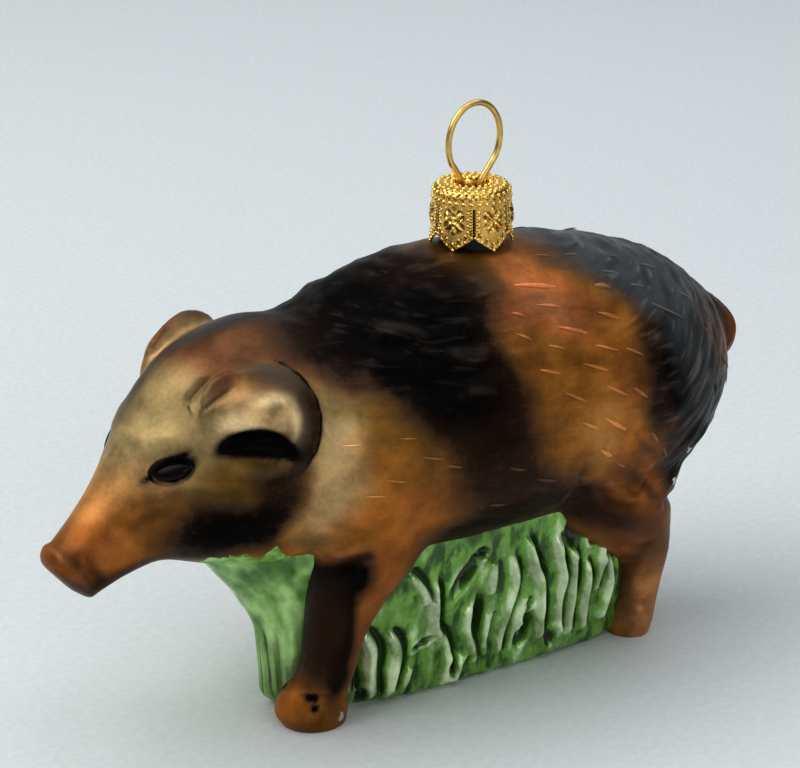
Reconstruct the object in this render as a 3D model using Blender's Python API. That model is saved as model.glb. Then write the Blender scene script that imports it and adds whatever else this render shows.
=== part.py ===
"""Blown-glass tree ornament: a wild boar walking through a tuft of grass, with a stamped cap and a hanger.

Rows and sizes are millimetres, turned into metres as each mesh is made. X runs from the snout (-) to the
tail (+), -Y is the boar's left side, +Z is up, and the hooves and the foot of the grass stand at Z = 0.
The boar is one form, lofted through stations from snout to rump and parted by thin cuts into head, neck and
trunk. Legs, ears, tail, eyes and grass are lofts of their own, carved back from it by the same thin gap.
"""
import bpy
import bmesh
import math
from mathutils import Vector

MM = 0.001
GAP = 0.3                 # clear gap between neighbouring pieces

# Stations of the boar's body, snout to rump: top x, top z, bottom x, bottom z, half width,
# share of the height where it is widest, fullness above and below
BODY_STATIONS = [
    (-53.0, 27.6, -49.8, 23.8, 2.6, 0.52, 2.3, 2.3),
    (-52.7, 28.8, -47.6, 22.9, 4.5, 0.52, 2.3, 2.3),
    (-50.8, 30.3, -45.0, 23.9, 4.9, 0.50, 2.2, 2.3),
    (-48.2, 33.2, -41.9, 24.8, 5.2, 0.47, 2.1, 2.2),
    (-44.6, 37.7, -38.3, 25.6, 6.6, 0.46, 2.0, 2.2),
    (-41.1, 43.5, -34.9, 24.7, 8.8, 0.46, 2.0, 2.2),
    (-37.5, 48.4, -31.3, 23.5, 10.8, 0.47, 2.0, 2.1),
    (-33.2, 51.9, -27.3, 22.6, 12.6, 0.48, 2.0, 2.1),
    (-27.9, 53.9, -23.8, 21.6, 14.2, 0.48, 2.0, 2.1),
    (-22.3, 54.6, -19.8, 20.4, 16.0, 0.48, 2.0, 2.0),
    (-15.5, 53.8, -14.3, 19.2, 17.8, 0.47, 2.0, 2.0),
    (-8.0, 56.5, -7.3, 18.6, 18.8, 0.47, 2.0, 2.0),
    (0.7, 58.8, 0.7, 18.5, 19.7, 0.47, 2.0, 2.0),
    (9.7, 59.1, 9.7, 18.7, 20.2, 0.48, 2.0, 2.0),
    (19.7, 58.4, 19.7, 19.2, 20.2, 0.48, 2.0, 2.0),
    (29.7, 56.6, 28.7, 19.6, 19.6, 0.48, 2.0, 2.0),
    (39.2, 53.4, 37.6, 20.6, 17.3, 0.51, 2.0, 1.9),
    (46.0, 48.6, 43.8, 22.6, 12.2, 0.57, 2.0, 1.7),
    (49.6, 43.4, 47.4, 28.0, 7.2, 0.57, 2.0, 1.7),
    (50.6, 40.6, 49.3, 32.5, 3.6, 0.54, 2.0, 1.9),
]
BODY_SIDES = 28
STEPS_PER_STATION = 2
HEAD_END = 8.6            # station where the head meets the neck
NECK_END = 10.6           # station where the neck meets the trunk
PARTING = 0.045           # half of a parting cut, as a share of the distance between two stations

# Legs, hoof to shoulder or hip: centre x, centre y, z, half length, half width
FORELEG = [
    (-18.4, -7.3, 0.0, 4.3, 4.0),
    (-19.1, -7.3, 1.6, 5.1, 4.7),
    (-18.6, -7.6, 4.5, 4.4, 4.3),
    (-17.2, -8.2, 7.0, 3.8, 4.0),
    (-16.4, -8.8, 12.0, 4.1, 4.2),
    (-15.0, -9.6, 17.0, 5.5, 4.7),
    (-12.9, -10.6, 22.0, 7.6, 5.3),
    (-11.1, -10.8, 28.0, 9.2, 5.6),
    (-10.8, -10.0, 34.0, 8.4, 5.0),
]
HINDLEG = [
    (32.9, -7.3, 0.0, 3.0, 3.5),
    (33.0, -7.3, 1.6, 3.5, 4.0),
    (33.6, -7.6, 4.5, 3.2, 3.7),
    (34.3, -8.0, 8.5, 3.3, 3.5),
    (33.3, -8.8, 12.5, 4.8, 3.9),
    (29.9, -10.2, 17.0, 7.2, 4.7),
    (26.9, -11.2, 21.5, 9.5, 5.4),
    (27.0, -11.0, 27.0, 10.9, 5.8),
    (28.6, -10.0, 34.0, 10.0, 5.0),
]
RIGHT_FORE_SHIFT = 9.0    # the right foreleg is a step behind the left one
RIGHT_HIND_SHIFT = -7.0   # and the right hind leg a step ahead
LEG_SIDES = 15
LEG_STEPS = 1.5           # rings to a row of a leg or the tail
HOOF_CLEARANCE = 1.0      # how far below the hooves their clearance in the grass runs

# Grass, foot to belly: z, front x, rear x, half width
GRASS_ROWS = [
    (0.0, -20.3, 35.7, 8.2),
    (1.6, -22.1, 36.7, 9.4),
    (6.0, -22.5, 36.7, 10.0),
    (12.0, -23.3, 35.7, 11.2),
    (18.0, -26.7, 34.7, 12.6),
    (24.0, -30.9, 33.7, 13.6),
]
GRASS_FULLNESS = 3.6      # corner fullness of the plan outline
GRASS_BOW = 14.0          # length over which the front narrows to a bow
GRASS_BLUNTNESS = 0.02    # share of the width squared that is left at the bow's tip
GRASS_SIDES = 40

# Tail, root to tip, a leaf lying on the rump: centre x, centre y, z, half thickness, half width
TAIL = [
    (47.4, -0.5, 46.0, 1.8, 2.4),
    (49.4, -1.8, 43.6, 2.3, 3.4),
    (50.5, -2.6, 41.2, 2.3, 3.9),
    (50.6, -3.0, 38.8, 2.0, 3.3),
    (50.0, -3.0, 36.6, 1.5, 2.2),
    (49.3, -3.0, 35.2, 0.6, 1.0),
]
TAIL_SIDES = 16

# Ears: a round flap with a rolled rim, a swollen pad and the hollow under it
EAR_CENTRE = (-28.3, -11.7, 45.2)
EAR_NORMAL = (-0.25, -0.93, 0.18)
EAR_LENGTH = 7.7
EAR_WIDTH = 7.3
EAR_SWELL = 3.0           # height of the outer face's dome
EAR_SWELL_FULLNESS = 0.45
EAR_PAD = 0.7             # rise of the pad above the dome
EAR_HOLLOW = 2.1          # depth of the arched hollow under the pad
EAR_BACK = 2.6            # depth of the rounded back
RIGHT_EAR_OFFSET = (1.3, -0.1, 0.5)
EAR_SIDES = 24
EAR_RINGS = (0.2, 0.4, 0.6, 0.78, 0.92, 1.0)

EYE_CENTRE = (-38.6, -7.2, 39.5)
EYE_SIZE = (2.4, 1.0, 1.2)    # half length, half depth, half height
EYE_TILT = 25.0               # degrees, the rear corner higher
EYE_FLARE = 0.62              # how far the rear corner stands out, per millimetre of length
EYE_TAPER = 1.2               # sharpness of the corners
EYE_RINGS = 8
EYE_SIDES = 12

# Glass neck under the cap, stamped cap and wire
PIKE_X = 10.9
PIKE_OUTER = 4.3
PIKE_BORE = 3.0
PIKE_FOOT = 56.0
PIKE_TOP = 65.6
PIKE_FLOOR = 59.4         # bottom of the bore
PIKE_SIDES = 32
CAP_TIP = 58.9
# Radius and z of the cap's top, from the mouth outwards
CAP_PROFILE = [(2.4, 66.9), (3.3, 67.2), (4.3, 66.9), (4.9, 66.1), (5.1, 64.9)]
CAP_WALL = 0.35
CAP_FLARE = 0.3           # how much wider the petal tips are than the shoulder
CAP_SLIT_TOP = 64.2
CAP_SLIT_ANGLE = 3.6      # degrees
CAP_NOTCH = 2.0           # rise from a petal's tip to the foot of the slit
CAP_PETALS = 6
CAP_TURN = -121.0         # direction of the first slit, degrees
CAP_COLUMNS = 4           # columns of faces on one petal
CAP_WALL_ROWS = 3
WIRE_RADIUS = 0.42
LOOP_CENTRE_Z = 72.7
LOOP_HALF_WIDTH = 4.05
LOOP_HALF_HEIGHT = 5.0
LOOP_OPEN_ANGLE = 42.0    # degrees from straight down where the loop's arc ends
LOOP_LEAN = 0.35
LOOP_STEPS = 18
WIRE_NECK = 1.3           # half distance between the wire's legs in the cap's mouth
WIRE_SPREAD = 2.1         # half distance between the ends of the sprung legs
WIRE_NECK_Z = 66.3
WIRE_FOOT = 61.6
WIRE_SIDES = 8


def clear_scene():
    for item in list(bpy.data.objects):
        bpy.data.objects.remove(item, do_unlink=True)


def paint(name, colour, roughness, metallic):
    material = bpy.data.materials.new(name)
    material.use_nodes = True
    shader = material.node_tree.nodes["Principled BSDF"]
    shader.inputs["Base Color"].default_value = (*colour, 1.0)
    shader.inputs["Roughness"].default_value = roughness
    shader.inputs["Metallic"].default_value = metallic
    return material


def blend_rows(rows, position):
    """A row of numbers from a smooth curve through the rows; position 2.5 is halfway from row 2 to row 3."""
    index = min(max(int(math.floor(position)), 0), len(rows) - 2)
    t = position - index
    here, after = rows[index], rows[index + 1]
    before = rows[index - 1] if index > 0 else tuple(2 * a - b for a, b in zip(here, after))
    beyond = rows[index + 2] if index + 2 < len(rows) else tuple(2 * b - a for a, b in zip(here, after))
    return tuple(
        0.5 * (2 * b + (c - a) * t + (2 * a - 5 * b + 4 * c - d) * t * t + (3 * b - a - 3 * c + d) * t ** 3)
        for a, b, c, d in zip(before, here, after, beyond)
    )


def signed_power(value, exponent):
    return math.copysign(abs(value) ** exponent, value)


def positions_between(first, last, per_station):
    count = max(2, round((last - first) * per_station))
    return [first + (last - first) * k / count for k in range(count + 1)]


def loft(name, rings, material):
    """One closed object through rings of equally many points (millimetres), with a flat face on each end."""
    mesh = bpy.data.meshes.new(name)
    work = bmesh.new()
    loops = [[work.verts.new(Vector(point) * MM) for point in ring] for ring in rings]
    sides = len(rings[0])
    for lower, upper in zip(loops, loops[1:]):
        for k in range(sides):
            after = (k + 1) % sides
            work.faces.new((lower[k], lower[after], upper[after], upper[k]))
    work.faces.new(loops[0])
    work.faces.new(loops[-1])
    bmesh.ops.recalc_face_normals(work, faces=work.faces)
    work.to_mesh(mesh)
    work.free()
    mesh.materials.append(material)
    mesh.shade_smooth()
    mesh.set_sharp_from_angle(angle=math.radians(50))
    piece = bpy.data.objects.new(name, mesh)
    bpy.context.collection.objects.link(piece)
    return piece


def mark_cutter(piece):
    piece.hide_render = True
    piece.display_type = "WIRE"
    return piece


def carve(piece, cutters):
    for cutter in cutters:
        cut = piece.modifiers.new("Clear of " + cutter.name, "BOOLEAN")
        cut.operation = "DIFFERENCE"
        cut.solver = "EXACT"
        cut.object = cutter
    return piece


def body_ring(position, grow=0.0):
    """Outline of the boar's body across the plane of a station, with its sides pushed out by grow."""
    station = blend_rows(BODY_STATIONS, position)
    top_x, top_z, low_x, low_z, half_width, widest, full_above, full_below = station
    span = math.hypot(top_x - low_x, top_z - low_z)
    reach = grow / span
    ring = []
    for k in range(BODY_SIDES):
        angle = 2 * math.pi * k / BODY_SIDES
        rise, side = math.cos(angle), math.sin(angle)
        fullness = full_above if rise >= 0 else full_below
        share = (1 - widest + reach) if rise >= 0 else (widest + reach)
        height = widest + share * signed_power(rise, 2 / fullness)
        ring.append((
            low_x + (top_x - low_x) * height,
            (half_width + grow) * signed_power(side, 2 / fullness),
            low_z + (top_z - low_z) * height,
        ))
    return ring


def body_length(name, first, last, material, grow=0.0):
    rings = [body_ring(p, grow) for p in positions_between(first, last, STEPS_PER_STATION)]
    return loft(name, rings, material)


def upright_limb(name, rows, material, side=1.0, shift=0.0, grow=0.0, sides=LEG_SIDES, foot_grow=0.0):
    """A limb through level oval rings; side -1 mirrors it to the boar's right."""
    rings = []
    for position in positions_between(0, len(rows) - 1, LEG_STEPS):
        x, y, z, half_length, half_width = blend_rows(rows, position)
        level = z - foot_grow if position == 0 else z
        rings.append([
            (
                x + shift + (half_length + grow) * math.cos(2 * math.pi * k / sides),
                side * y + (half_width + grow) * math.sin(2 * math.pi * k / sides),
                level,
            )
            for k in range(sides)
        ])
    return loft(name, rings, material)


def grass_tuft(name, material):
    """Block of grass under the belly: a long rounded plan, narrowed to a bow in front, widening upwards."""
    rings = []
    for position in positions_between(0, len(GRASS_ROWS) - 1, STEPS_PER_STATION):
        z, front, rear, half_width = blend_rows(GRASS_ROWS, position)
        middle, half_length = (front + rear) / 2, (rear - front) / 2
        ring = []
        for k in range(GRASS_SIDES):
            angle = 2 * math.pi * (k + 0.5) / GRASS_SIDES
            x = middle + half_length * signed_power(math.cos(angle), 2 / GRASS_FULLNESS)
            bow = math.sqrt(min(1.0, (x - front) / GRASS_BOW + GRASS_BLUNTNESS))
            ring.append((x, half_width * bow * signed_power(math.sin(angle), 2 / GRASS_FULLNESS), z))
        rings.append(ring)
    return loft(name, rings, material)


def ear_relief(up, across):
    """Height of the ear's outer face over its plane, at shares of its length and width from the centre."""
    edge = max(0.0, 1 - up * up - across * across)
    dome = EAR_SWELL * edge ** EAR_SWELL_FULLNESS
    arch = up + 0.20 + 0.30 * (across + 0.15) ** 2
    hollow = EAR_HOLLOW * math.exp(-(arch / 0.17) ** 2) * max(0.0, 1 - ((across + 0.15) / 0.85) ** 4)
    pad = EAR_PAD * math.exp(-((up - 0.22) / 0.30) ** 2 - ((across + 0.10) / 0.60) ** 2)
    fade = min(1.0, 3 * edge)
    return dome + (pad - hollow) * fade


def ear(name, side, offset, material, grow=0.0):
    """Round flap: rings from the middle of its back, over the rim, to the middle of its outer face."""
    normal = Vector(EAR_NORMAL).normalized()
    up = (Vector((0, 0, 1)) - normal * normal.z).normalized()
    across = up.cross(normal)
    centre = Vector(EAR_CENTRE)
    rings = []
    for outer_face, shares in ((False, EAR_RINGS), (True, tuple(reversed(EAR_RINGS[:-1])))):
        for share in shares:
            ring = []
            for k in range(EAR_SIDES):
                angle = 2 * math.pi * k / EAR_SIDES
                u, a = share * math.cos(angle), share * math.sin(angle)
                if outer_face:
                    height = ear_relief(u, a) + grow
                else:
                    height = -EAR_BACK * max(0.0, 1 - share * share) ** 0.5 - grow
                point = centre + normal * height
                point += up * (u * (EAR_LENGTH + grow)) + across * (a * (EAR_WIDTH + grow))
                ring.append((point.x + offset[0], side * point.y + offset[1], point.z + offset[2]))
            rings.append(ring)
    return loft(name, rings, material)


def eye(name, side, material, grow=0.0):
    """Almond bead lying in the cheek, pointed at both corners."""
    tilt = math.radians(EYE_TILT)
    rings = []
    for step in range(1, EYE_RINGS):
        along = -math.cos(math.pi * step / EYE_RINGS)
        swell = math.sin(math.pi * step / EYE_RINGS) ** EYE_TAPER
        ring = []
        for k in range(EYE_SIDES):
            angle = 2 * math.pi * k / EYE_SIDES
            x = along * (EYE_SIZE[0] + grow)
            z = (EYE_SIZE[2] + grow) * swell * math.sin(angle)
            y = (EYE_SIZE[1] + grow) * swell * math.cos(angle)
            ring.append((
                EYE_CENTRE[0] + x * math.cos(tilt) - z * math.sin(tilt),
                side * (EYE_CENTRE[1] + y - EYE_FLARE * x),
                EYE_CENTRE[2] + x * math.sin(tilt) + z * math.cos(tilt),
            ))
        rings.append(ring)
    return loft(name, rings, material)


def glass_neck(name, material):
    """Open glass tube standing on the back, which the cap sits over and the wire springs against."""
    inside = [(PIKE_BORE, PIKE_FLOOR), (PIKE_BORE, PIKE_TOP)]
    outside = [(PIKE_OUTER, PIKE_TOP), (PIKE_OUTER, PIKE_FOOT)]
    mesh = bpy.data.meshes.new(name)
    work = bmesh.new()
    loops = []
    for radius, z in inside + outside:
        loops.append([
            work.verts.new(Vector((
                PIKE_X + radius * math.cos(2 * math.pi * k / PIKE_SIDES),
                radius * math.sin(2 * math.pi * k / PIKE_SIDES),
                z,
            )) * MM)
            for k in range(PIKE_SIDES)
        ])
    for lower, upper in zip(loops, loops[1:]):
        for k in range(PIKE_SIDES):
            after = (k + 1) % PIKE_SIDES
            work.faces.new((lower[k], lower[after], upper[after], upper[k]))
    work.faces.new(loops[0])
    work.faces.new(loops[-1])
    bmesh.ops.recalc_face_normals(work, faces=work.faces)
    work.to_mesh(mesh)
    work.free()
    mesh.materials.append(material)
    piece = bpy.data.objects.new(name, mesh)
    bpy.context.collection.objects.link(piece)
    return piece


def crown_cap(name, material):
    """Stamped cap of thin sheet: open mouth, rounded shoulder and six pointed petals parted by slits."""
    pitch = 360.0 / CAP_PETALS
    petal = pitch - CAP_SLIT_ANGLE
    columns = []              # direction, turn away from the petal's middle, whether a slit starts here
    for index in range(CAP_PETALS):
        start = CAP_TURN + pitch * index + CAP_SLIT_ANGLE / 2
        for k in range(CAP_COLUMNS + 1):
            turn = petal * k / CAP_COLUMNS
            columns.append((start + turn, abs(turn - petal / 2) / (pitch / 2), k == CAP_COLUMNS))
    mesh = bpy.data.meshes.new(name)
    work = bmesh.new()
    grid = []
    shoulder_radius, shoulder_z = CAP_PROFILE[-1]
    for direction, off_middle, _ in columns:
        foot = CAP_TIP + CAP_NOTCH * off_middle
        line = list(CAP_PROFILE) + [(shoulder_radius, CAP_SLIT_TOP)]
        for row in range(1, CAP_WALL_ROWS + 1):
            share = row / CAP_WALL_ROWS
            line.append((shoulder_radius + CAP_FLARE * share, CAP_SLIT_TOP + (foot - CAP_SLIT_TOP) * share))
        angle = math.radians(direction)
        points = [Vector((PIKE_X + r * math.cos(angle), r * math.sin(angle), z)) for r, z in line]
        grid.append([work.verts.new(point * MM) for point in points])
    last_closed_row = len(CAP_PROFILE)            # above this row the wall runs on past a slit
    for index, (_, _, starts_slit) in enumerate(columns):
        here, after = grid[index], grid[(index + 1) % len(grid)]
        for row in range(len(here) - 1):
            if not (starts_slit and row >= last_closed_row):
                work.faces.new((here[row], here[row + 1], after[row + 1], after[row]))
    bmesh.ops.recalc_face_normals(work, faces=work.faces)
    work.to_mesh(mesh)
    work.free()
    mesh.materials.append(material)
    piece = bpy.data.objects.new(name, mesh)
    bpy.context.collection.objects.link(piece)
    sheet = piece.modifiers.new("Sheet", "SOLIDIFY")
    sheet.thickness = CAP_WALL * MM
    sheet.offset = -1.0
    sheet.use_even_offset = True
    return piece


def hanger_path():
    """Middle line of the wire: a sprung leg, a teardrop loop above the cap, and the other leg."""
    arc = []
    first = math.radians(LOOP_OPEN_ANGLE)
    for k in range(LOOP_STEPS + 1):
        angle = first + (2 * math.pi - 2 * first) * k / LOOP_STEPS
        z = LOOP_CENTRE_Z - LOOP_HALF_HEIGHT * math.cos(angle)
        lean = LOOP_LEAN * (z - CAP_SLIT_TOP) / (LOOP_CENTRE_Z - CAP_SLIT_TOP)
        arc.append((PIKE_X - LOOP_HALF_WIDTH * math.sin(angle) + lean, 0.0, z))
    left = [(PIKE_X - WIRE_SPREAD, 0.0, WIRE_FOOT), (PIKE_X - WIRE_NECK, 0.0, WIRE_NECK_Z)]
    right = [(PIKE_X + WIRE_NECK, 0.0, WIRE_NECK_Z), (PIKE_X + WIRE_SPREAD, 0.0, WIRE_FOOT)]
    return left + arc + right


def wire_hanger(name, material):
    """Round wire bent along the path; its rings stay square to the middle line."""
    rows = hanger_path()
    centres = [Vector(blend_rows(rows, p)) for p in positions_between(0, len(rows) - 1, STEPS_PER_STATION)]
    rings = []
    for index, centre in enumerate(centres):
        ahead = centres[min(index + 1, len(centres) - 1)] - centres[max(index - 1, 0)]
        out = Vector((0, 1, 0)).cross(ahead.normalized())
        ring = []
        for k in range(WIRE_SIDES):
            angle = 2 * math.pi * (k + 0.5) / WIRE_SIDES
            across = Vector((0, WIRE_RADIUS * math.sin(angle), 0))
            ring.append(centre + out * (WIRE_RADIUS * math.cos(angle)) + across)
        rings.append(ring)
    return loft(name, rings, material)


def build():
    clear_scene()
    back = paint("boar_back", (0.035, 0.028, 0.026), 0.35, 0.35)
    face = paint("boar_face", (0.30, 0.22, 0.13), 0.35, 0.35)
    tan = paint("boar_tan", (0.34, 0.19, 0.08), 0.35, 0.35)
    brown = paint("boar_brown", (0.20, 0.085, 0.03), 0.35, 0.35)
    dark = paint("boar_eye", (0.02, 0.018, 0.02), 0.2, 0.0)
    green = paint("grass_green", (0.10, 0.28, 0.09), 0.22, 0.45)
    glass = paint("bare_glass", (0.55, 0.56, 0.56), 0.12, 0.6)
    gold = paint("gold_cap", (0.85, 0.55, 0.14), 0.25, 1.0)
    wire = paint("gold_wire", (0.72, 0.50, 0.17), 0.25, 1.0)

    last = len(BODY_STATIONS) - 1
    clearance = mark_cutter(body_length("body_clearance", 0, last, back, GAP))
    head = body_length("head", 0, HEAD_END - PARTING, face)
    body_length("neck", HEAD_END + PARTING, NECK_END - PARTING, tan)
    body_length("trunk", NECK_END + PARTING, last, back)

    legs = (
        ("foreleg_left", FORELEG, 1.0, 0.0),
        ("foreleg_right", FORELEG, -1.0, RIGHT_FORE_SHIFT),
        ("hindleg_left", HINDLEG, 1.0, 0.0),
        ("hindleg_right", HINDLEG, -1.0, RIGHT_HIND_SHIFT),
    )
    leg_cutters = []
    for name, rows, side, shift in legs:
        carve(upright_limb(name, rows, brown, side, shift), [clearance])
        cutter = upright_limb(name + "_clearance", rows, brown, side, shift, GAP, foot_grow=HOOF_CLEARANCE)
        leg_cutters.append(mark_cutter(cutter))
    carve(grass_tuft("grass", green), [clearance] + leg_cutters)

    carve(upright_limb("tail", TAIL, tan, sides=TAIL_SIDES), [clearance])
    carve(ear("ear_left", 1.0, (0, 0, 0), face), [clearance])
    carve(ear("ear_right", -1.0, RIGHT_EAR_OFFSET, face), [clearance])
    eye("eye_left", 1.0, dark)
    eye("eye_right", -1.0, dark)
    sockets = [eye("socket_left", 1.0, dark, GAP), eye("socket_right", -1.0, dark, GAP)]
    carve(head, [mark_cutter(socket) for socket in sockets])

    carve(glass_neck("pike", glass), [clearance])
    crown_cap("cap", gold)
    wire_hanger("hanger", wire)


build()
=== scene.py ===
"""A mouth-blown glass boar for a Christmas tree, silvered inside and painted by hand, standing in its grass.

Rows and sizes are millimetres, turned into metres as each mesh is made. X runs from the snout (-) to the
tail (+), -Y is the boar's left side and +Z is up. The glass is blown in one mould, so head, body, legs, ears
and tail are fused into one skin here, and the mould's relief is pressed into it afterwards. The grass, the
eyes with their lids, the raised hairs, the stamped cap, its beads and the wire are pieces of their own.
"""
import math
import random

import bmesh
import bpy
import numpy as np
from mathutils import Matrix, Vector, noise
from mathutils.bvhtree import BVHTree


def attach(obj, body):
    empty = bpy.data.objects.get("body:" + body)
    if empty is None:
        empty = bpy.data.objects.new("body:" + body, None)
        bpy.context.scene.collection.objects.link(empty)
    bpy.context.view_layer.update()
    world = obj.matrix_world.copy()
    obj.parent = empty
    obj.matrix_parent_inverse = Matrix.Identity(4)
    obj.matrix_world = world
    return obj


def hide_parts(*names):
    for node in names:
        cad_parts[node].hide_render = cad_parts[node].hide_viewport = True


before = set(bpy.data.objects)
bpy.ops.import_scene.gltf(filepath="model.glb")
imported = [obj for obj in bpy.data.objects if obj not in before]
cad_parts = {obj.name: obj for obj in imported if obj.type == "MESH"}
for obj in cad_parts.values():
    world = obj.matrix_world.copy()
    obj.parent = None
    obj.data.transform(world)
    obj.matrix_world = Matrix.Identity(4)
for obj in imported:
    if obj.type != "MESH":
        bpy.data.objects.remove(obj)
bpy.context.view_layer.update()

MM = 0.001

# ---------------------------------------------------------------- driving sizes

# Stations of the boar's body, snout to rump: top x, top z, bottom x, bottom z, half width,
# share of the height where it is widest, fullness above and below
BODY_STATIONS = [
    (-53.0, 27.6, -49.8, 23.8, 2.6, 0.52, 2.3, 2.3),
    (-52.7, 28.8, -47.6, 22.9, 4.5, 0.52, 2.3, 2.3),
    (-50.8, 30.3, -45.0, 23.9, 4.9, 0.50, 2.2, 2.3),
    (-48.2, 33.2, -41.9, 24.8, 5.2, 0.47, 2.1, 2.2),
    (-44.6, 37.7, -38.3, 25.6, 6.6, 0.46, 2.0, 2.2),
    (-41.1, 43.5, -34.9, 24.7, 8.8, 0.46, 2.0, 2.2),
    (-37.5, 48.4, -31.3, 23.5, 10.8, 0.47, 2.0, 2.1),
    (-33.2, 51.9, -27.3, 22.6, 12.6, 0.48, 2.0, 2.1),
    (-27.9, 53.9, -23.8, 21.6, 14.2, 0.48, 2.0, 2.1),
    (-22.3, 54.6, -19.8, 20.4, 16.0, 0.48, 2.0, 2.0),
    (-15.5, 53.8, -14.3, 19.2, 17.8, 0.47, 2.0, 2.0),
    (-8.0, 56.5, -7.3, 18.6, 18.8, 0.47, 2.0, 2.0),
    (0.7, 58.8, 0.7, 18.5, 19.7, 0.47, 2.0, 2.0),
    (9.7, 59.1, 9.7, 18.7, 20.2, 0.48, 2.0, 2.0),
    (19.7, 58.4, 19.7, 19.2, 20.2, 0.48, 2.0, 2.0),
    (29.7, 56.6, 28.7, 19.6, 19.6, 0.48, 2.0, 2.0),
    (39.2, 53.4, 37.6, 20.6, 17.3, 0.51, 2.0, 1.9),
    (46.0, 48.6, 43.8, 22.6, 12.2, 0.57, 2.0, 1.7),
    (49.6, 43.4, 47.4, 28.0, 7.2, 0.57, 2.0, 1.7),
    (50.6, 40.6, 49.3, 32.5, 3.6, 0.54, 2.0, 1.9),
]

# Legs, hoof to shoulder or hip: centre x, centre y, z, half length, half width
FORELEG = [
    (-18.4, -7.3, 0.0, 4.3, 4.0),
    (-19.1, -7.3, 1.6, 5.1, 4.7),
    (-18.6, -7.6, 4.5, 4.4, 4.3),
    (-17.2, -8.2, 7.0, 3.8, 4.0),
    (-16.4, -8.8, 12.0, 4.1, 4.2),
    (-15.0, -9.6, 17.0, 5.5, 4.7),
    (-12.9, -10.6, 22.0, 7.6, 5.3),
    (-11.1, -10.8, 28.0, 9.2, 5.6),
    (-10.8, -10.0, 34.0, 8.4, 5.0),
]
HINDLEG = [
    (32.9, -7.3, 0.0, 3.0, 3.5),
    (33.0, -7.3, 1.6, 3.5, 4.0),
    (33.6, -7.6, 4.5, 3.2, 3.7),
    (34.3, -8.0, 8.5, 3.3, 3.5),
    (33.3, -8.8, 12.5, 4.8, 3.9),
    (29.9, -10.2, 17.0, 7.2, 4.7),
    (26.9, -11.2, 21.5, 9.5, 5.4),
    (27.0, -11.0, 27.0, 10.9, 5.8),
    (28.6, -10.0, 34.0, 10.0, 5.0),
]
RIGHT_FORE_SHIFT = 9.0    # the right foreleg is a step behind the left one
RIGHT_HIND_SHIFT = -7.0   # and the right hind leg a step ahead

# Tail, root to tip, a leaf lying on the rump: centre x, centre y, z, half thickness, half width
TAIL = [
    (47.4, -0.5, 46.0, 1.8, 2.4),
    (49.4, -1.8, 43.6, 2.3, 3.4),
    (50.5, -2.6, 41.2, 2.3, 3.9),
    (50.6, -3.0, 38.8, 2.0, 3.3),
    (50.0, -3.0, 36.6, 1.5, 2.2),
    (49.3, -3.0, 35.2, 0.6, 1.0),
]

# Grass, foot to belly: z, front x, rear x, half width
GRASS_ROWS = [
    (0.0, -20.3, 35.7, 8.2),
    (1.6, -22.1, 36.7, 9.4),
    (6.0, -22.5, 36.7, 10.0),
    (12.0, -23.3, 35.7, 11.2),
    (18.0, -26.7, 34.7, 12.6),
    (24.0, -30.9, 33.7, 13.6),
]
GRASS_FULLNESS = 3.6      # corner fullness of the plan outline
GRASS_BOW = 14.0          # length over which the front narrows to a bow
GRASS_BLUNTNESS = 0.02    # share of the width squared that is left at the bow's tip

EAR_CENTRE = (-28.3, -11.7, 45.2)
EAR_NORMAL = (-0.25, -0.93, 0.18)
EAR_LENGTH = 7.7
EAR_WIDTH = 7.3
EAR_BACK = 2.6
RIGHT_EAR_OFFSET = (1.3, -0.1, 0.5)

EYE_CENTRE = (-38.6, -7.2, 39.5)
EYE_SIZE = (2.4, 1.0, 1.2)    # half length, half depth, half height
EYE_TILT = 25.0               # degrees, the rear corner higher
EYE_TAPER = 1.2               # sharpness of the corners
# Rings of the bead from its outline to its middle: share of the outline, and how far out
EYE_SWELL = [(1.0, -0.9), (1.0, -0.35), (0.96, -0.05), (0.85, 0.22), (0.66, 0.42), (0.4, 0.55), (0.05, 0.6)]

PIKE_X = 10.9
CAP_TIP = 58.9
# Radius and z of the cap's top, from the mouth outwards
CAP_PROFILE = [(2.4, 66.9), (3.4, 67.2), (4.55, 67.0), (5.05, 66.3), (5.15, 64.9)]
CAP_FLARE = 0.3           # how much wider the petal tips are than the shoulder
CAP_SLIT_TOP = 64.85
CAP_SLIT_ANGLE = 3.6      # degrees
CAP_NOTCH = 2.0           # rise from a petal's tip to the foot of the slit
CAP_PETALS = 6
CAP_TURN = -121.0         # direction of the first slit, degrees
WIRE_RADIUS = 0.42
LOOP_CENTRE_Z = 72.7
LOOP_HALF_WIDTH = 4.05
LOOP_HALF_HEIGHT = 5.0
LOOP_OPEN_ANGLE = 42.0    # degrees from straight down where the loop's arc ends
LOOP_LEAN = 0.35
WIRE_NECK = 1.3           # half distance between the wire's legs in the cap's mouth
WIRE_SPREAD = 2.1         # half distance between the ends of the sprung legs
WIRE_NECK_Z = 66.3
WIRE_FOOT = 61.6

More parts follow.
